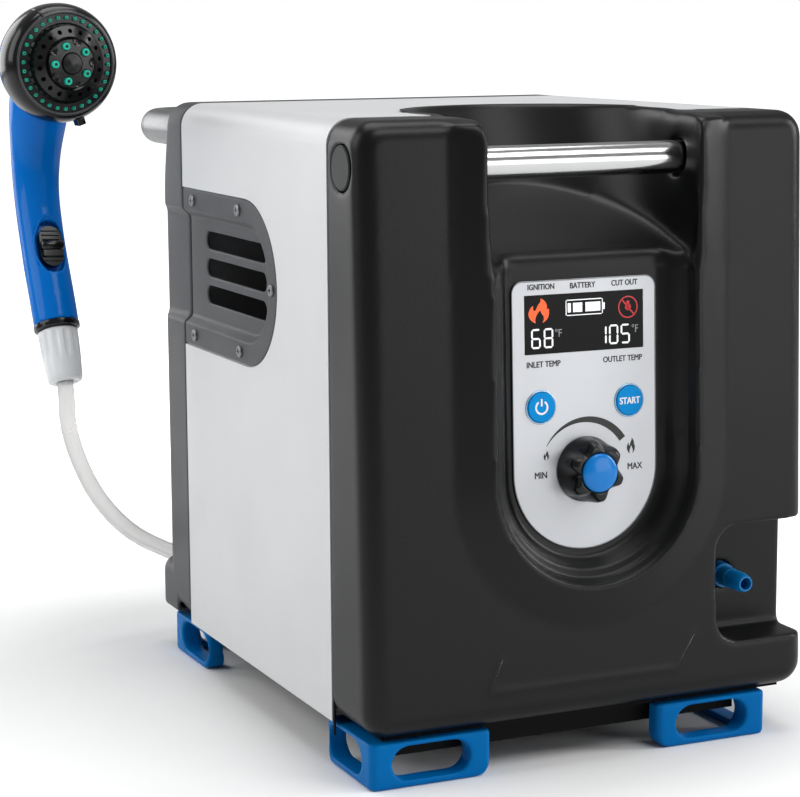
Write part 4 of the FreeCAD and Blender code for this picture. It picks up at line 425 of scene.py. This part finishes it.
def stepped(marks, turn):
    # an eased climb from mark to mark
    for (a, low), (b, high) in zip(marks, marks[1:]):
        if turn <= b:
            share = (turn - a) / (b - a)
            return low + (high - low) * (3 - 2 * share) * share * share
    return marks[-1][1]


def hoseFinish():
    # milky clear plastic
    finish, tree, shader, skin = blankFinish("hoseClear", skinGroup, Grain=700, Depth=0.00002)
    tone = blended(tree, ranged(tree, skin.outputs["Tone"], 0, 1), rgb("fcfbfa"), rgb("f6f5f4"))
    tree.links.new(tone, shader.inputs["Base Color"])
    tree.links.new(ranged(tree, skin.outputs["Tone"], 0.24, 0.34), shader.inputs["Roughness"])
    tree.links.new(skin.outputs["Normal"], shader.inputs["Normal"])
    filled(shader, {"Transmission Weight": 0.7, "IOR": 1.25, "Subsurface Weight": 0.3,
                    "Subsurface Radius": (0.004, 0.004, 0.004), "Subsurface Scale": 1.0})
    return finish


def makeHose():
    size = hoseRoute
    route = list(size["down"])
    steps = size["steps"]
    widen = 1 / math.cos(math.pi / steps)  # the line runs inside its control points
    for k in range(int(size["turns"] * steps) + 1):
        turn = k / steps
        angle = math.radians(360 * turn - 90)
        radius = stepped(size["radii"], turn) * widen
        x, y = size["middle"]
        route.append((x + radius * math.cos(angle), y + radius * math.sin(angle),
                      stepped(size["heights"], turn)))
    route += size["up"]
    curve = bpy.data.curves.new("hose", "CURVE")
    curve.dimensions = "3D"
    line = curve.splines.new("NURBS")
    line.points.add(len(route) - 1)
    for point, place in zip(line.points, route):
        point.co = (*at(*place), 1)
    line.order_u = 3
    line.use_endpoint_u = True
    line.resolution_u = 6
    curve.bevel_depth = size["thick"] / 2000
    curve.bevel_resolution = 5
    curve.use_fill_caps = True
    curve.materials.append(hoseFinish())
    hose = shown("hose", curve)
    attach(hose, "case")
    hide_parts("hose_down", "hose_up", "hose_coil")


makeHose()
print("hose laid")


def weldedCopy(label):
    bm = bmesh.new()
    bm.from_mesh(nodes[label].data)
    bmesh.ops.remove_doubles(bm, verts=bm.verts, dist=2e-6)
    return closed(bm, label + "Draft")


def finished(data, kind, **settings):
    # a mesh with one modifier applied to it
    draft = shown("draft", data)
    modifier = draft.modifiers.new(kind, kind)
    for key, value in settings.items():
        setattr(modifier, key, value)
    made = evaluated(draft)
    bpy.data.meshes.remove(data)
    return made


def rub(bm, verts, rounds):
    for _ in range(rounds):
        bmesh.ops.smooth_vert(bm, verts=verts, factor=0.5,
                              use_axis_x=True, use_axis_y=True, use_axis_z=True)


def softened(name, label, size, finish, held=None, softer=None, roomy=None):
    # a finely remeshed copy of a part whose edges are rubbed round, as moulded plastic has them
    bm = opened(finished(weldedCopy(label), "REMESH",
                         mode="VOXEL", voxel_size=size["voxel"], adaptivity=0))
    free = [v for v in bm.verts if held is None or not held(v.co)]
    rub(bm, free, size["rounds"])
    if softer:
        rub(bm, [v for v in free if softer(v.co)], size["extra"])
    if roomy:
        for vert in bm.verts:
            vert.co = roomy(vert.co)
    count = 2 * len(bm.faces)
    data = closed(bm, name + "Draft")
    if count > size["most"]:
        data = finished(data, "DECIMATE", ratio=size["most"] / count)
    data.name = name
    data.shade_smooth()
    data.materials.clear()
    data.materials.append(finish)
    piece = shown(name, data)
    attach(piece, "case")
    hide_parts(label)
    print(name, "softened,", len(data.polygons), "faces")


# voxel in metres, rounds of smoothing, most triangles; the rest in the case's own millimetres
coverShape = {
    "voxel": 0.0017, "rounds": 5, "most": 190000, "seam": -121.2, "roof": 399.5, "cutOut": 300,
    "bowl": (-96, 96), "bowlFoot": 306, "bowlBack": -75, "extra": 26,
}


def makeCover():
    size = coverShape
    left, right = size["bowl"]
    low, high = at(left, size["bowlBack"], size["bowlFoot"]), at(right, size["seam"], size["roof"])

    def held(co):
        # the rim against the wrap keeps its edge, and the fixing holes keep theirs
        inCutOut = low.x < co.x < high.x and co.z > size["cutOut"] / 1000
        return co.y > high.y and co.z < high.z and not inCutOut

    def softer(co):
        return low.x < co.x < high.x and co.z > low.z and co.y < low.y

    softened("frontMoulding", "front_cover", size, coverBlack, held, softer)


footShape = {"voxel": 0.0011, "rounds": 9, "most": 36000}


def makeFeet():
    for name in ("front_left", "front_right", "rear_left", "rear_right"):
        softened("footSkin" + name.title().replace("_", ""), "foot_" + name, footShape, footBlue)


grilleShape = {"voxel": 0.0008, "rounds": 5, "most": 90000}
rearShape = {"voxel": 0.0014, "rounds": 5, "most": 180000}
# the handset's own frame, and the frames of its slide and its head
handFrame = (Matrix.Translation(at(-216.6, 205.0, 427.3)) @ Matrix.Rotation(math.radians(6), 4, "Z")
             @ Matrix.Rotation(math.radians(2.2), 4, "Y"))
slideFrame = (handFrame @ Matrix.Translation((0, 0.0256, -0.131))
              @ Matrix.Rotation(math.radians(67), 4, "X"))
headFrame = handFrame @ Matrix.Rotation(math.radians(90), 4, "X")
handsetShape = {
    "voxel": 0.0009, "rounds": 7, "most": 130000,
    # the slide's recess: half of its straight side, the limits of the change and the amounts
    "half": 9.5, "edge": 9.9, "edgeFade": 1.5, "wide": 9.0, "wideFade": 4.0, "long": 21.0,
    "longFade": 6.0, "top": -1.2, "topFade": 1.2, "back": -8.0, "floor": 0.5, "end": 0.7, "longer": 1.0,
}


def makeHandset():
    size = handsetShape
    inward = slideFrame.inverted()

    def roomy(co):
        # the recess is a little deeper and its ends are further out, so that the slide runs free
        spot = (inward @ co) * 1000
        if not size["back"] < spot.z < size["top"]:
            return co
        past = max(0.0, abs(spot.y) - size["half"])
        share = clamped((size["top"] - spot.z) / size["topFade"])
        inside = clamped((size["edge"] - math.hypot(spot.x, past)) / size["edgeFade"])
        end = clamped(past / size["longFade"]) * (abs(spot.y) < size["long"])
        end *= clamped((size["wide"] - abs(spot.x)) / size["wideFade"])
        spot.z -= share * (size["floor"] * inside + size["end"] * end)
        spot.y += math.copysign(share * size["longer"] * end, spot.y)
        return slideFrame @ (spot / 1000)

    softened("handsetSkin", "handset_body", size, handBlue, roomy=roomy)


makeCover()
makeFeet()
softened("grilleSkin", "vent_grille", grilleShape, ventGrey)
softened("rearSkin", "rear_cover", rearShape, rearGrey)
makeHandset()
print("moulded edges made")

# the leaning front: height of its foot, lean in degrees, and how far out its faces stand
panel = {"foot": 31.2, "face": -178.4, "lean": 2, "fascia": -12.0, "glass": -12.0, "button": -10.6,
         "thin": 0.08}
panelFrame = (Matrix.Translation(at(0, panel["face"], panel["foot"]))
              @ Matrix.Rotation(math.radians(90 - panel["lean"]), 4, "X"))


def onPanel(x, z, out):
    # local place on the leaning front, metres
    up = (z - panel["foot"]) / math.cos(math.radians(panel["lean"]))
    return Vector((x / 1000, up / 1000, out / 1000))


def onFront(x, z, out):
    return panelFrame @ Matrix.Translation(onPanel(x, z, out))


def keep(bm, name, finish, body, place=None, smooth=False):
    # every piece made here goes through this
    if place is not None:
        bmesh.ops.transform(bm, matrix=place, verts=bm.verts)
    bmesh.ops.remove_doubles(bm, verts=bm.verts, dist=1e-6)
    bmesh.ops.recalc_face_normals(bm, faces=bm.faces)
    data = closed(bm, name)
    if smooth:
        data.shade_smooth()
    data.materials.append(finish)
    piece = shown(name, data)
    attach(piece, body)
    return piece


def poured(part, whole):
    # adds one bmesh to another
    data = closed(part, "part")
    whole.from_mesh(data)
    bpy.data.meshes.remove(data)


def thickened(bm, amount):
    # raises flat faces by a small amount along Z
    raised = bmesh.ops.extrude_face_region(bm, geom=list(bm.faces))
    verts = [item for item in raised["geom"] if isinstance(item, bmesh.types.BMVert)]
    bmesh.ops.translate(bm, verts=verts, vec=(0, 0, amount))


def inkFinish(name, colour, glow=0.0):
    # print or lit segments with a little wear
    finish, tree, shader, skin = blankFinish(name, skinGroup, Grain=2400, Depth=0.00001)
    base = rgb(colour)
    worn = tuple(c * 0.88 for c in base[:3]) + (1,)
    tone = blended(tree, ranged(tree, skin.outputs["Rub"], 0, 1, 0, 1), base, worn)
    tree.links.new(tone, shader.inputs["Base Color"])
    filled(shader, {"Roughness": 0.4})
    if glow:
        tree.links.new(tone, shader.inputs["Emission Color"])
        filled(shader, {"Emission Strength": glow})
    return finish


inkDark = inkFinish("inkDark", "0f1012")
inkWhite = inkFinish("inkWhite", "f2f4f6")
litWhite = inkFinish("litWhite", "f4f6f8", 0.3)
litGrey = inkFinish("litGrey", "8b9094", 0.12)
litOrange = inkFinish("litOrange", "e8571e", 0.45)
litRed = inkFinish("litRed", "b8232a", 0.35)


def fromCurve(curve):
    return opened(evaluated(shown(curve.name + "Draft", curve)))


def printed(bm, name, finish, body, place, out):
    # raised a hair above the panel
    thickened(bm, panel["thin"] / 1000)
    return keep(bm, name, finish, body, onFront(*place, out))


textShape = {"curveSteps": 4, "copies": 8, "lift": 1 / 400, "tallShare": 0.6}


def words(name, text, x, z, tall, finish, out, narrow=0.86, body="case", slot="fascia", bold=0.17):
    size = textShape
    curve = bpy.data.curves.new(name, "FONT")
    curve.body = text
    curve.fill_mode = "BOTH"
    curve.resolution_u = size["curveSteps"]
    curve.extrude = 0.5
    bm = fromCurve(curve)
    low = [min(v.co[k] for v in bm.verts) for k in range(3)]
    high = [max(v.co[k] for v in bm.verts) for k in range(3)]
    scale = tall / 1000 / (high[1] - low[1])
    flat = panel["thin"] / 1000 / (high[2] - low[2])
    centre = Vector([(a + b) / 2 for a, b in zip(low, high)])
    bmesh.ops.translate(bm, verts=bm.verts, vec=-centre)
    bmesh.ops.scale(bm, verts=bm.verts, vec=(scale * narrow, scale, flat))
    once = list(bm.verts) + list(bm.edges) + list(bm.faces)
    for number in range(size["copies"]):
        # copies set round the first one thicken the strokes
        angle = math.tau * number / size["copies"]
        again = bmesh.ops.duplicate(bm, geom=once)
        verts = [item for item in again["geom"] if isinstance(item, bmesh.types.BMVert)]
        shift = Vector((bold * math.cos(angle), size["tallShare"] * bold * math.sin(angle),
                        -(number + 1) * size["lift"]))
        bmesh.ops.translate(bm, verts=verts, vec=shift / 1000)
    return keep(bm, name, finish, body, onFront(x, z, out + panel["thin"] / 2))


# name: words, x, z, letter height
captions = {
    "captionIgnition": ("IGNITION", -29.7, 297.5, 3.4),
    "captionBattery": ("BATTERY", -1.0, 297.2, 3.4),
    "captionCutOut": ("CUT OUT", 28.2, 297.3, 3.4),
    "captionInlet": ("INLET TEMP", -28.4, 250.3, 3.5),
    "captionOutlet": ("OUTLET TEMP", 26.6, 250.4, 3.5),
    "captionMin": ("MIN", -31.2, 182.0, 3.9),
    "captionMax": ("MAX", 34.8, 182.6, 3.9),
}


def segmentShape(bm, x, y, length, width, upright):
    # one bar of a seven-segment digit with pointed ends
    half, side = length / 2, width / 2
    corners = [(-half, 0), (-half + side, side), (half - side, side), (half, 0), (half - side, -side),
               (-half + side, -side)]
    if upright:
        corners = [(b, a) for a, b in corners]
    bm.faces.new([bm.verts.new((x + a, y + b, 0)) for a, b in corners])


segmentsOf = {"6": "acdefg", "8": "abcdefg", "1": "bc", "0": "abcdef", "5": "acdfg"}
digitShape = {"wide": 5.4, "tall": 11.0, "stroke": 1.15, "fill": 0.94}


def digits(name, text, x, z, step):
    size = digitShape
    wide, tall = size["wide"], size["tall"]
    places = {"a": (0, tall / 2, False), "g": (0, 0, False), "d": (0, -tall / 2, False),
              "f": (-wide / 2, tall / 4, True), "b": (wide / 2, tall / 4, True),
              "e": (-wide / 2, -tall / 4, True), "c": (wide / 2, -tall / 4, True)}
    bm = bmesh.new()
    for k, letter in enumerate(text):
        shift = (k - (len(text) - 1) / 2) * step
        for key in segmentsOf[letter]:
            px, py, upright = places[key]
            length = (tall / 2 if upright else wide) / 1000 * size["fill"]
            segmentShape(bm, (shift + px) / 1000, py / 1000, length, size["stroke"] / 1000, upright)
    return printed(bm, name, litWhite, "case", (x, z), panel["glass"])


flameOutline = [(-0.10, -0.50), (-0.34, -0.36), (-0.45, -0.12), (-0.36, 0.10), (-0.22, 0.24), (-0.24, 0.04),
                (-0.14, -0.02), (-0.04, 0.22), (0.10, 0.36), (0.06, 0.50), (0.28, 0.36), (0.36, 0.14),
                (0.30, 0.02), (0.42, 0.10), (0.44, -0.16), (0.34, -0.36), (0.12, -0.50), (0.22, -0.36),
                (0.20, -0.20), (0.10, -0.10), (0.08, 0.04), (-0.04, -0.08), (-0.12, -0.22), (-0.16, -0.38)]


def flame(name, x, z, wide, tall, finish, out):
    curve = bpy.data.curves.new(name, "CURVE")
    curve.dimensions = "2D"
    curve.fill_mode = "BOTH"
    curve.resolution_u = 5
    line = curve.splines.new("NURBS")
    line.points.add(len(flameOutline) - 1)
    for point, (a, b) in zip(line.points, flameOutline):
        point.co = (a * wide / 1000, b * tall / 1000, 0, 1)
    line.order_u = 3
    line.use_cyclic_u = True
    bm = fromCurve(curve)
    bmesh.ops.remove_doubles(bm, verts=bm.verts, dist=1e-6)
    return printed(bm, name, finish, "case", (x, z), out)


def ringBand(bm, inner, outer, start, end, steps):
    # a flat band between two radii, swept from one angle to another in degrees, zero at the top
    first = [bm.verts.new((0, inner, 0)), bm.verts.new((0, outer, 0))]
    edge = bm.edges.new(first)
    turn = Matrix.Rotation(-math.radians(start), 3, "Z")
    bmesh.ops.rotate(bm, verts=first, cent=(0, 0, 0), matrix=turn)
    full = abs(end - start) >= 360
    bmesh.ops.spin(bm, geom=[edge], cent=(0, 0, 0), axis=(0, 0, -1), angle=math.radians(end - start),
                   steps=steps, use_merge=full, use_duplicate=False)


def bar(bm, x, y, wide, tall, turn=0.0):
    # a flat bar, all in millimetres
    verts = bmesh.ops.create_grid(bm, x_segments=1, y_segments=1, size=0.5)["verts"]
    bmesh.ops.scale(bm, verts=verts, vec=(wide / 1000, tall / 1000, 1))
    bmesh.ops.rotate(bm, verts=verts, cent=(0, 0, 0),
                     matrix=Matrix.Rotation(math.radians(turn), 3, "Z"))
    bmesh.ops.translate(bm, verts=verts, vec=(x / 1000, y / 1000, 0))


buttonPlaces = {"power": (-30.8, 224), "start": (30.8, 224)}


arcShape = {"at": (1.0, 183.5), "radius": 32.5, "band": (30.0, 31.5), "start": -60, "end": 56,
            "steps": 44, "thin": 0.4, "gain": 4.4, "growth": 1.1}


def heatArc():
    # the scale above the knob, thin at the low end and wide at the high end
    size = arcShape
    inner, outer = size["band"]
    bm = bmesh.new()
    ringBand(bm, inner / 1000, outer / 1000, size["start"], size["end"], size["steps"])
    for vert in bm.verts:
        angle = math.degrees(math.atan2(vert.co.x, vert.co.y))
        share = clamped((angle - size["start"]) / (size["end"] - size["start"]))
        reach = vert.co.length * 1000
        wanted = size["radius"]
        if reach < (inner + outer) / 2:
            wanted -= size["thin"] + size["gain"] * math.sin(share * math.pi / 2) ** size["growth"]
        vert.co *= wanted / reach
    printed(bm, "heatArc", inkDark, "case", size["at"], panel["fascia"])


# the frame's bars and the charge bars are x, y, wide, tall
batteryShape = {
    "at": (0.0, 283.7),
    "bars": [(0, 4.65, 24.2, 0.6), (0, -4.65, 24.2, 0.6), (-12.6, 0, 0.6, 8.9), (12.6, 0, 0.6, 8.9),
             (13.7, 0, 1.2, 4.2), (-10.4, 0, 2.2, 5.7), (-4.6, 0, 6.4, 5.7), (6.0, 0, 10.4, 5.7)],
}


def batterySign():
    bm = bmesh.new()
    for place in batteryShape["bars"]:
        bar(bm, *place)
    printed(bm, "batterySign", litWhite, "case", batteryShape["at"], panel["glass"])


cutOutShape = {"at": (30.6, 282.0), "ring": (6.1, 6.9), "slash": (0, 0, 0.9, 11.8, 42),
               "stem": (0, 1.2, 2.0, 5.2), "dot": 2.1}


def cutOutSign():
    size = cutOutShape
    inner, outer = size["ring"]
    bm = bmesh.new()
    ringBand(bm, inner / 1000, outer / 1000, 0, 360, 36)
    bar(bm, *size["slash"])
    bar(bm, *size["stem"])
    ringBand(bm, 0.0, size["dot"] / 1000, 0, 360, 18)
    printed(bm, "cutOutSign", litRed, "case", size["at"], panel["glass"])


glassShape = {"at": (0, 274.5), "wide": 82.5, "tall": 36.0, "thick": 1.0, "corner": 1.8, "out": -13.02}


def lcdGlass():
    # the dark display window with rounded corners
    size = glassShape
    bm = bmesh.new()
    bar(bm, 0, 0, size["wide"], size["tall"])
    bmesh.ops.bevel(bm, geom=list(bm.verts), offset=size["corner"] / 1000, segments=5, profile=0.5,
                    affect="VERTICES", material=-1)
    thickened(bm, size["thick"] / 1000)
    glass = keep(bm, "lcdGlass", lcdBlack, "case", onFront(*size["at"], size["out"]))
    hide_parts("lcd_window")


powerShape = {"ring": (3.3, 4.5), "from": 32, "to": 328, "stem": (0, 3.0, 1.1, 4.6)}


def powerSign():
    size = powerShape
    inner, outer = size["ring"]
    bm = bmesh.new()
    ringBand(bm, inner / 1000, outer / 1000, size["from"], size["to"], 30)
    bar(bm, *size["stem"])
    printed(bm, "powerSign", inkWhite, "power_button", buttonPlaces["power"],
            panel["button"])


def strip(name, points, thick, finish, closed=False, body="case"):
    # a thin rounded line laid along points
    curve = bpy.data.curves.new(name, "CURVE")
    curve.dimensions = "3D"
    line = curve.splines.new("POLY")
    line.points.add(len(points) - 1)
    for point, place in zip(line.points, points):
        point.co = (*place, 1)
    line.use_cyclic_u = closed
    curve.bevel_depth = thick
    curve.bevel_resolution = 2
    curve.use_fill_caps = not closed
    return keep(fromCurve(curve), name, finish, body, smooth=True)


rimShape = {"half": 49.7, "top": 301.0, "centre": 183.7, "corner": 7.0, "sunk": 0.1, "thick": 0.45,
            "cornerSteps": 8, "footSteps": 32}


def fasciaRim():
    # the bright cut edge round the fascia
    size = rimShape
    half, corner = size["half"], size["corner"]
    inner, high = half - corner, size["top"] - corner
    points = []
    for x, z, r, first, sweep, steps in ((inner, high, corner, 0, 90, size["cornerSteps"]),
                                         (-inner, high, corner, 90, 90, size["cornerSteps"]),
                                         (0, size["centre"], half, 180, 180, size["footSteps"])):
        for k in range(steps + 1):
            a = math.radians(first + sweep * k / steps)
            points.append(panelFrame @ onPanel(x + r * math.cos(a), z + r * math.sin(a),
                                               panel["fascia"] - size["sunk"]))
    strip("fasciaRim", points, size["thick"] / 1000, zincScrew, True)


traceShape = {"corners": [(-65.0, 73.8), (-74.0, 53.6), (57.0, 53.6), (70.0, 73.8)], "sunk": 0.05,
              "thick": 0.55}


def coverTrace():
    # the shallow line pressed into the foot of the cover
    size = traceShape
    points = [panelFrame @ onPanel(x, z, -size["sunk"]) for x, z in size["corners"]]
    strip("coverTrace", points, size["thick"] / 1000, knobBlack)


gasketShape = {"side": 152.7, "joint": -120.9, "heights": (22, 140, 260, 384), "thick": 1.0}


def seamGaskets():
    # dark seals in the joint between the cover and the side sheets
    size = gasketShape
    for name, x in (("seamLeft", -size["side"]), ("seamRight", size["side"])):
        points = [at(x, size["joint"], z) for z in size["heights"]]
        strip(name, points, size["thick"] / 1000, coverBlack)


def turned(profile, steps):
    # a profile of radius and height in millimetres, spun round Z
    bm = bmesh.new()
    verts = [bm.verts.new((r / 1000, 0, z / 1000)) for r, z in profile]
    edges = [bm.edges.new(pair) for pair in zip(verts, verts[1:])]
    bmesh.ops.spin(bm, geom=verts + edges, cent=(0, 0, 0), axis=(0, 0, 1), angle=math.tau, steps=steps,
                   use_merge=True, use_duplicate=False)
    bmesh.ops.remove_doubles(bm, verts=bm.verts, dist=1e-7)
    return bm


def capped(bm):
    bmesh.ops.holes_fill(bm, edges=[e for e in bm.edges if e.is_boundary], sides=0)
    return bm


knobShape = {
    "at": (0, 183.5), "steps": 144, "capSteps": 96,
    "valleys": 6, "first": 8.0, "deep": 5.0, "wide": 25.0, "round": 1.6,
    # the valleys deepen from the foot up, and away from the hub
    "foot": -11.0, "rise": 14.0, "swell": 0.8, "hub": 12.8, "blend": 4.0,
    "profile": [(20.5, -11.4), (20.5, -10.6), (20.3, -9.0), (20.2, -6.5), (20.0, -4.0), (19.8, -1.5),
                (19.5, 0.8), (19.0, 2.6), (18.2, 4.1), (17.2, 5.1), (16.0, 5.6), (14.2, 5.8), (12.7, 5.8),
                (12.35, 5.5), (12.3, 4.6)],
    "cap": [(11.9, 4.6), (11.95, 6.2), (11.7, 6.9), (11.1, 7.4), (9.6, 7.9), (7.2, 8.4), (4.4, 8.7),
            (1.8, 8.85), (0.0, 8.9)],
}


def makeKnob():
    size = knobShape
    place = onFront(*size["at"], 0)
    bm = turned(size["profile"], size["steps"])
    for vert in bm.verts:
        radius, z = math.hypot(vert.co.x, vert.co.y) * 1000, vert.co.z * 1000
        if radius < size["hub"]:
            continue
        angle = math.degrees(math.atan2(vert.co.y, vert.co.x)) - size["first"]
        off = offPitch(angle, 360 / size["valleys"]) / size["wide"]
        valley = max(0.0, 1 - off * off) ** size["round"]
        rise = clamped((z - size["foot"]) / size["rise"]) ** size["swell"]
        outward = clamped((radius - size["hub"]) / size["blend"])
        vert.co.xy *= 1 - size["deep"] * valley * rise * outward / radius
    knob = keep(capped(bm), "knobGrip", knobBlack, "knob", place, True)
    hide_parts("control_knob")
    dome = capped(turned(size["cap"], size["capSteps"]))
    cap = keep(dome, "knobDome", capBlue, "knob", place, True)
    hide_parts("knob_cap")


highlightRingProfile = [(9.55, -12.2), (9.55, -11.5), (9.8, -11.2), (10.2, -11.3), (10.5, -11.7), (10.55, -12.2)]


def buttonHighlightRings():
    # a lip round each button, in a light blue metal that paints the highlight on the button's rim
    for name, place in buttonPlaces.items():
        ring = turned(highlightRingProfile, 72)
        keep(ring, name + "Ring", rimHighlightPaint, "case", onFront(*place, 0), True)


# painted highlight: this light blue stands for the bright reflection on the rim of each button
rimHighlightPaint = metalFinish("rimHighlightPaint", "a9cbe6", "93bbdc", (0.2, 0.3), (1, 1, 1), 1500, 0.00001, 0.5)
# count, ring radius, turn of the first, jet radius, foot and tip height
jetRings = {"outer": (32, 31.8, 0, 1.28, -1.9, 1.1), "inner": (5, 12.7, 40, 2.6, 8.0, 13.4)}


def makeJets():
    soft, dark = bmesh.new(), bmesh.new()
    for count, ring, first, r, foot, tip in jetRings.values():
        for k in range(count):
            angle = math.radians(first + 360 * k / count)
            centre = Vector((ring * math.cos(angle), ring * math.sin(angle), 0)) / 1000
            # a nozzle with a sunk mouth, and in it a black disc that paints the shade of the nozzle's hole
            jet = turned([(0, foot), (r, foot), (r, tip - 0.35), (r * 0.82, tip), (r * 0.5, tip),
                          (r * 0.4, tip - 0.5), (0, tip - 0.5)], 16)
            bmesh.ops.translate(jet, verts=jet.verts, vec=centre)
            eye = turned([(0, tip - 0.45), (r * 0.38, tip - 0.45), (r * 0.3, tip - 0.15),
                          (0, tip - 0.1)], 12)
            bmesh.ops.translate(eye, verts=eye.verts, vec=centre)
            poured(jet, soft)
            poured(eye, dark)
    jets = keep(soft, "jetRubber", jetTeal, "case", headFrame)
    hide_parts("spray_jets")
    # painted shade: black discs stand in the shallow mouths where the real holes are dark
    keep(dark, "jetHoleShade", smallBlack, "case", headFrame)


dialShape = {
    "steps": 160, "tab": (7.0, 6.0, 9.0), "tabEdge": 0.8, "tabAt": (42.5, 0, -10.5), "tabTurn": -70,
    "pointer": [(36.2, 0.3), (38.4, -0.6), (40.2, -3.0), (41.6, -7.0), (42.3, -12.0)],
    "pointerTurn": 119, "pointerThick": 0.7,
    "profile": [(34.66, -24.0), (38.6, -24.0), (40.2, -23.4), (41.3, -21.9), (41.9, -19.6), (42.0, -16.5),
                (42.0, -12.4), (41.8, -10.0), (41.4, -7.8), (40.8, -5.6), (40.0, -3.6), (39.0, -1.9),
                (37.9, -0.8), (36.8, -0.2), (35.8, -0.1), (35.0, -0.7), (34.66, -1.5)],
}


def makeDial():
    # the ring with its thumb tab, and the raised pointer across its rim
    size = dialShape
    bm = bmesh.new()
    tab = bmesh.ops.create_cube(bm, size=0.001)
    bmesh.ops.scale(bm, verts=tab["verts"], vec=size["tab"])
    bmesh.ops.bevel(bm, geom=list(bm.edges), offset=size["tabEdge"] / 1000, segments=3, profile=0.5,
                    affect="EDGES", material=-1)
    bmesh.ops.translate(bm, verts=bm.verts, vec=Vector(size["tabAt"]) / 1000)
    bmesh.ops.rotate(bm, verts=bm.verts, cent=(0, 0, 0),
                     matrix=Matrix.Rotation(math.radians(size["tabTurn"]), 3, "Z"))
    poured(turned(size["profile"] + size["profile"][:1], size["steps"]), bm)
    dial = keep(bm, "dialSkin", handDark, "spray_dial", headFrame, True)
    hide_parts("spray_dial")
    side = math.radians(size["pointerTurn"])
    points = [headFrame @ (Vector((r * math.cos(side), r * math.sin(side), z)) / 1000)
              for r, z in size["pointer"]]
    strip("dialPointer", points, size["pointerThick"] / 1000, handDark, body="spray_dial")


nutShape = {
    "at": (0, 0.0145, -0.1865), "axis": (0, -0.42, -0.9075), "steps": 144,
    "flutes": 12, "deep": 1.2, "wide": 9.0, "bore": 12.0,
    "from": 7.0, "fromFade": 1.6, "to": 29.0, "toFade": 8.0,
    "profile": [(6.1, 5.0), (13.4, 5.0), (14.2, 5.5), (14.4, 6.8), (14.4, 9.0), (14.35, 12.0), (14.3, 15.0),
                (14.2, 18.0), (14.05, 21.0), (13.9, 24.0), (13.7, 27.0), (13.5, 30.0), (13.2, 33.0),
                (13.0, 36.5), (12.9, 39.0), (12.6, 41.2), (11.8, 42.8), (10.4, 43.5), (6.4, 43.5),
                (6.3, 42.0)],
}


def makeNut():
    size = nutShape
    along = Vector(size["axis"]).normalized().to_track_quat("Z", "Y").to_matrix().to_4x4()
    bm = turned(size["profile"], size["steps"])
    for vert in bm.verts:
        radius, z = math.hypot(vert.co.x, vert.co.y) * 1000, vert.co.z * 1000
        if radius < size["bore"]:
            continue
        angle = math.degrees(math.atan2(vert.co.y, vert.co.x))
        off = offPitch(angle, 360 / size["flutes"]) / size["wide"]
        share = clamped((z - size["from"]) / size["fromFade"])
        share *= clamped((size["to"] - z) / size["toFade"])
        vert.co.xy *= 1 - size["deep"] * max(0.0, 1 - off * off) * share / radius
    place = handFrame @ Matrix.Translation(size["at"]) @ along
    nut = keep(bm, "nutSkin", paleNut, "hose_nut", place, True)
    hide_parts("hose_nut")


thumbShape = {
    "reach": 8.6, "thick": 3.0, "high": 3.4, "flat": (1, 1.15, 0.9), "steps": 32,
    "lipWide": 11.6, "lipLong": 23.5, "lipPoint": 1.25, "lipSteps": 64, "lip": 0.8, "grip": 16.15,
    "gripDeep": 14.5,
}


def makeThumbSlide():
    # the bar across the slide, and the pointed lip moulded round its recess
    size = thumbShape
    r, reach = size["thick"], size["reach"]
    bm = turned([(0, -reach), (r * 0.6, -reach + 0.2), (r, -reach + 1.4), (r, 0), (r, reach - 1.4),
                 (r * 0.6, reach - 0.2), (0, reach)], size["steps"])
    bmesh.ops.rotate(bm, verts=bm.verts, cent=(0, 0, 0),
                     matrix=Matrix.Rotation(math.radians(90), 3, "Y"))
    bmesh.ops.scale(bm, verts=bm.verts, vec=size["flat"])
    bmesh.ops.translate(bm, verts=bm.verts, vec=(0, 0, size["high"] / 1000))
    keep(bm, "thumbBar", handDark, "flow_slide", slideFrame, True)
    points = []
    for k in range(size["lipSteps"]):
        angle = math.tau * k / size["lipSteps"]
        x = size["lipWide"] * math.copysign(abs(math.sin(angle)) ** size["lipPoint"], math.sin(angle))
        z = math.sqrt(size["grip"] ** 2 - x * x) - size["gripDeep"]
        points.append(slideFrame @ (Vector((x, size["lipLong"] * math.cos(angle), z)) / 1000))
    strip("slideLip", points, size["lip"] / 1000, handBlue, True)


faceProfile = [(34.5, -0.9), (34.7, 0.1), (35.4, 0.5), (36.2, 0.4), (36.7, -0.3), (36.8, -1.2)]


def faceRim():
    # the satin ring between the spray plate and the head
    keep(turned(faceProfile, 120), "faceRim", rimGrey, "spray_dial", headFrame, True)


rimGrey = plasticFinish("rimGrey", "3a3c3f", "303235", (0.25, 0.35), 1300, 0.00002, 20, coat=0.3)
coverTrace()
seamGaskets()
makeKnob()
buttonHighlightRings()
makeJets()
makeDial()
faceRim()
makeNut()
makeThumbSlide()
lcdGlass()
for label, (text, x, z, tall) in captions.items():
    words(label, text, x, z, tall, inkDark, panel["fascia"])
words("startWord", "START", *buttonPlaces["start"], 4.1, inkWhite, panel["button"], 0.84,
      "start_button", "blue_plastic")
for label, x, z in (("inletUnit", -18.0, 268.9), ("outletUnit", 35.4, 268.6)):
    words(label, "°F", x, z, 4.9, litGrey, panel["glass"], 0.84, slot="display", bold=0.04)
digits("inletDigits", "68", -29.2, 266.0, 8.6)
digits("outletDigits", "105", 20.4, 265.6, 8.2)
flame("ignitionSign", -31.4, 283.0, 16.5, 15.8, litOrange, panel["glass"])
flame("lowFlame", -27.4, 193.9, 4.2, 6.4, inkDark, panel["fascia"])
flame("highFlame", 32.0, 195.4, 6.6, 10.2, inkDark, panel["fascia"])
heatArc()
batterySign()
cutOutSign()
powerSign()
fasciaRim()
print("control panel dressed")
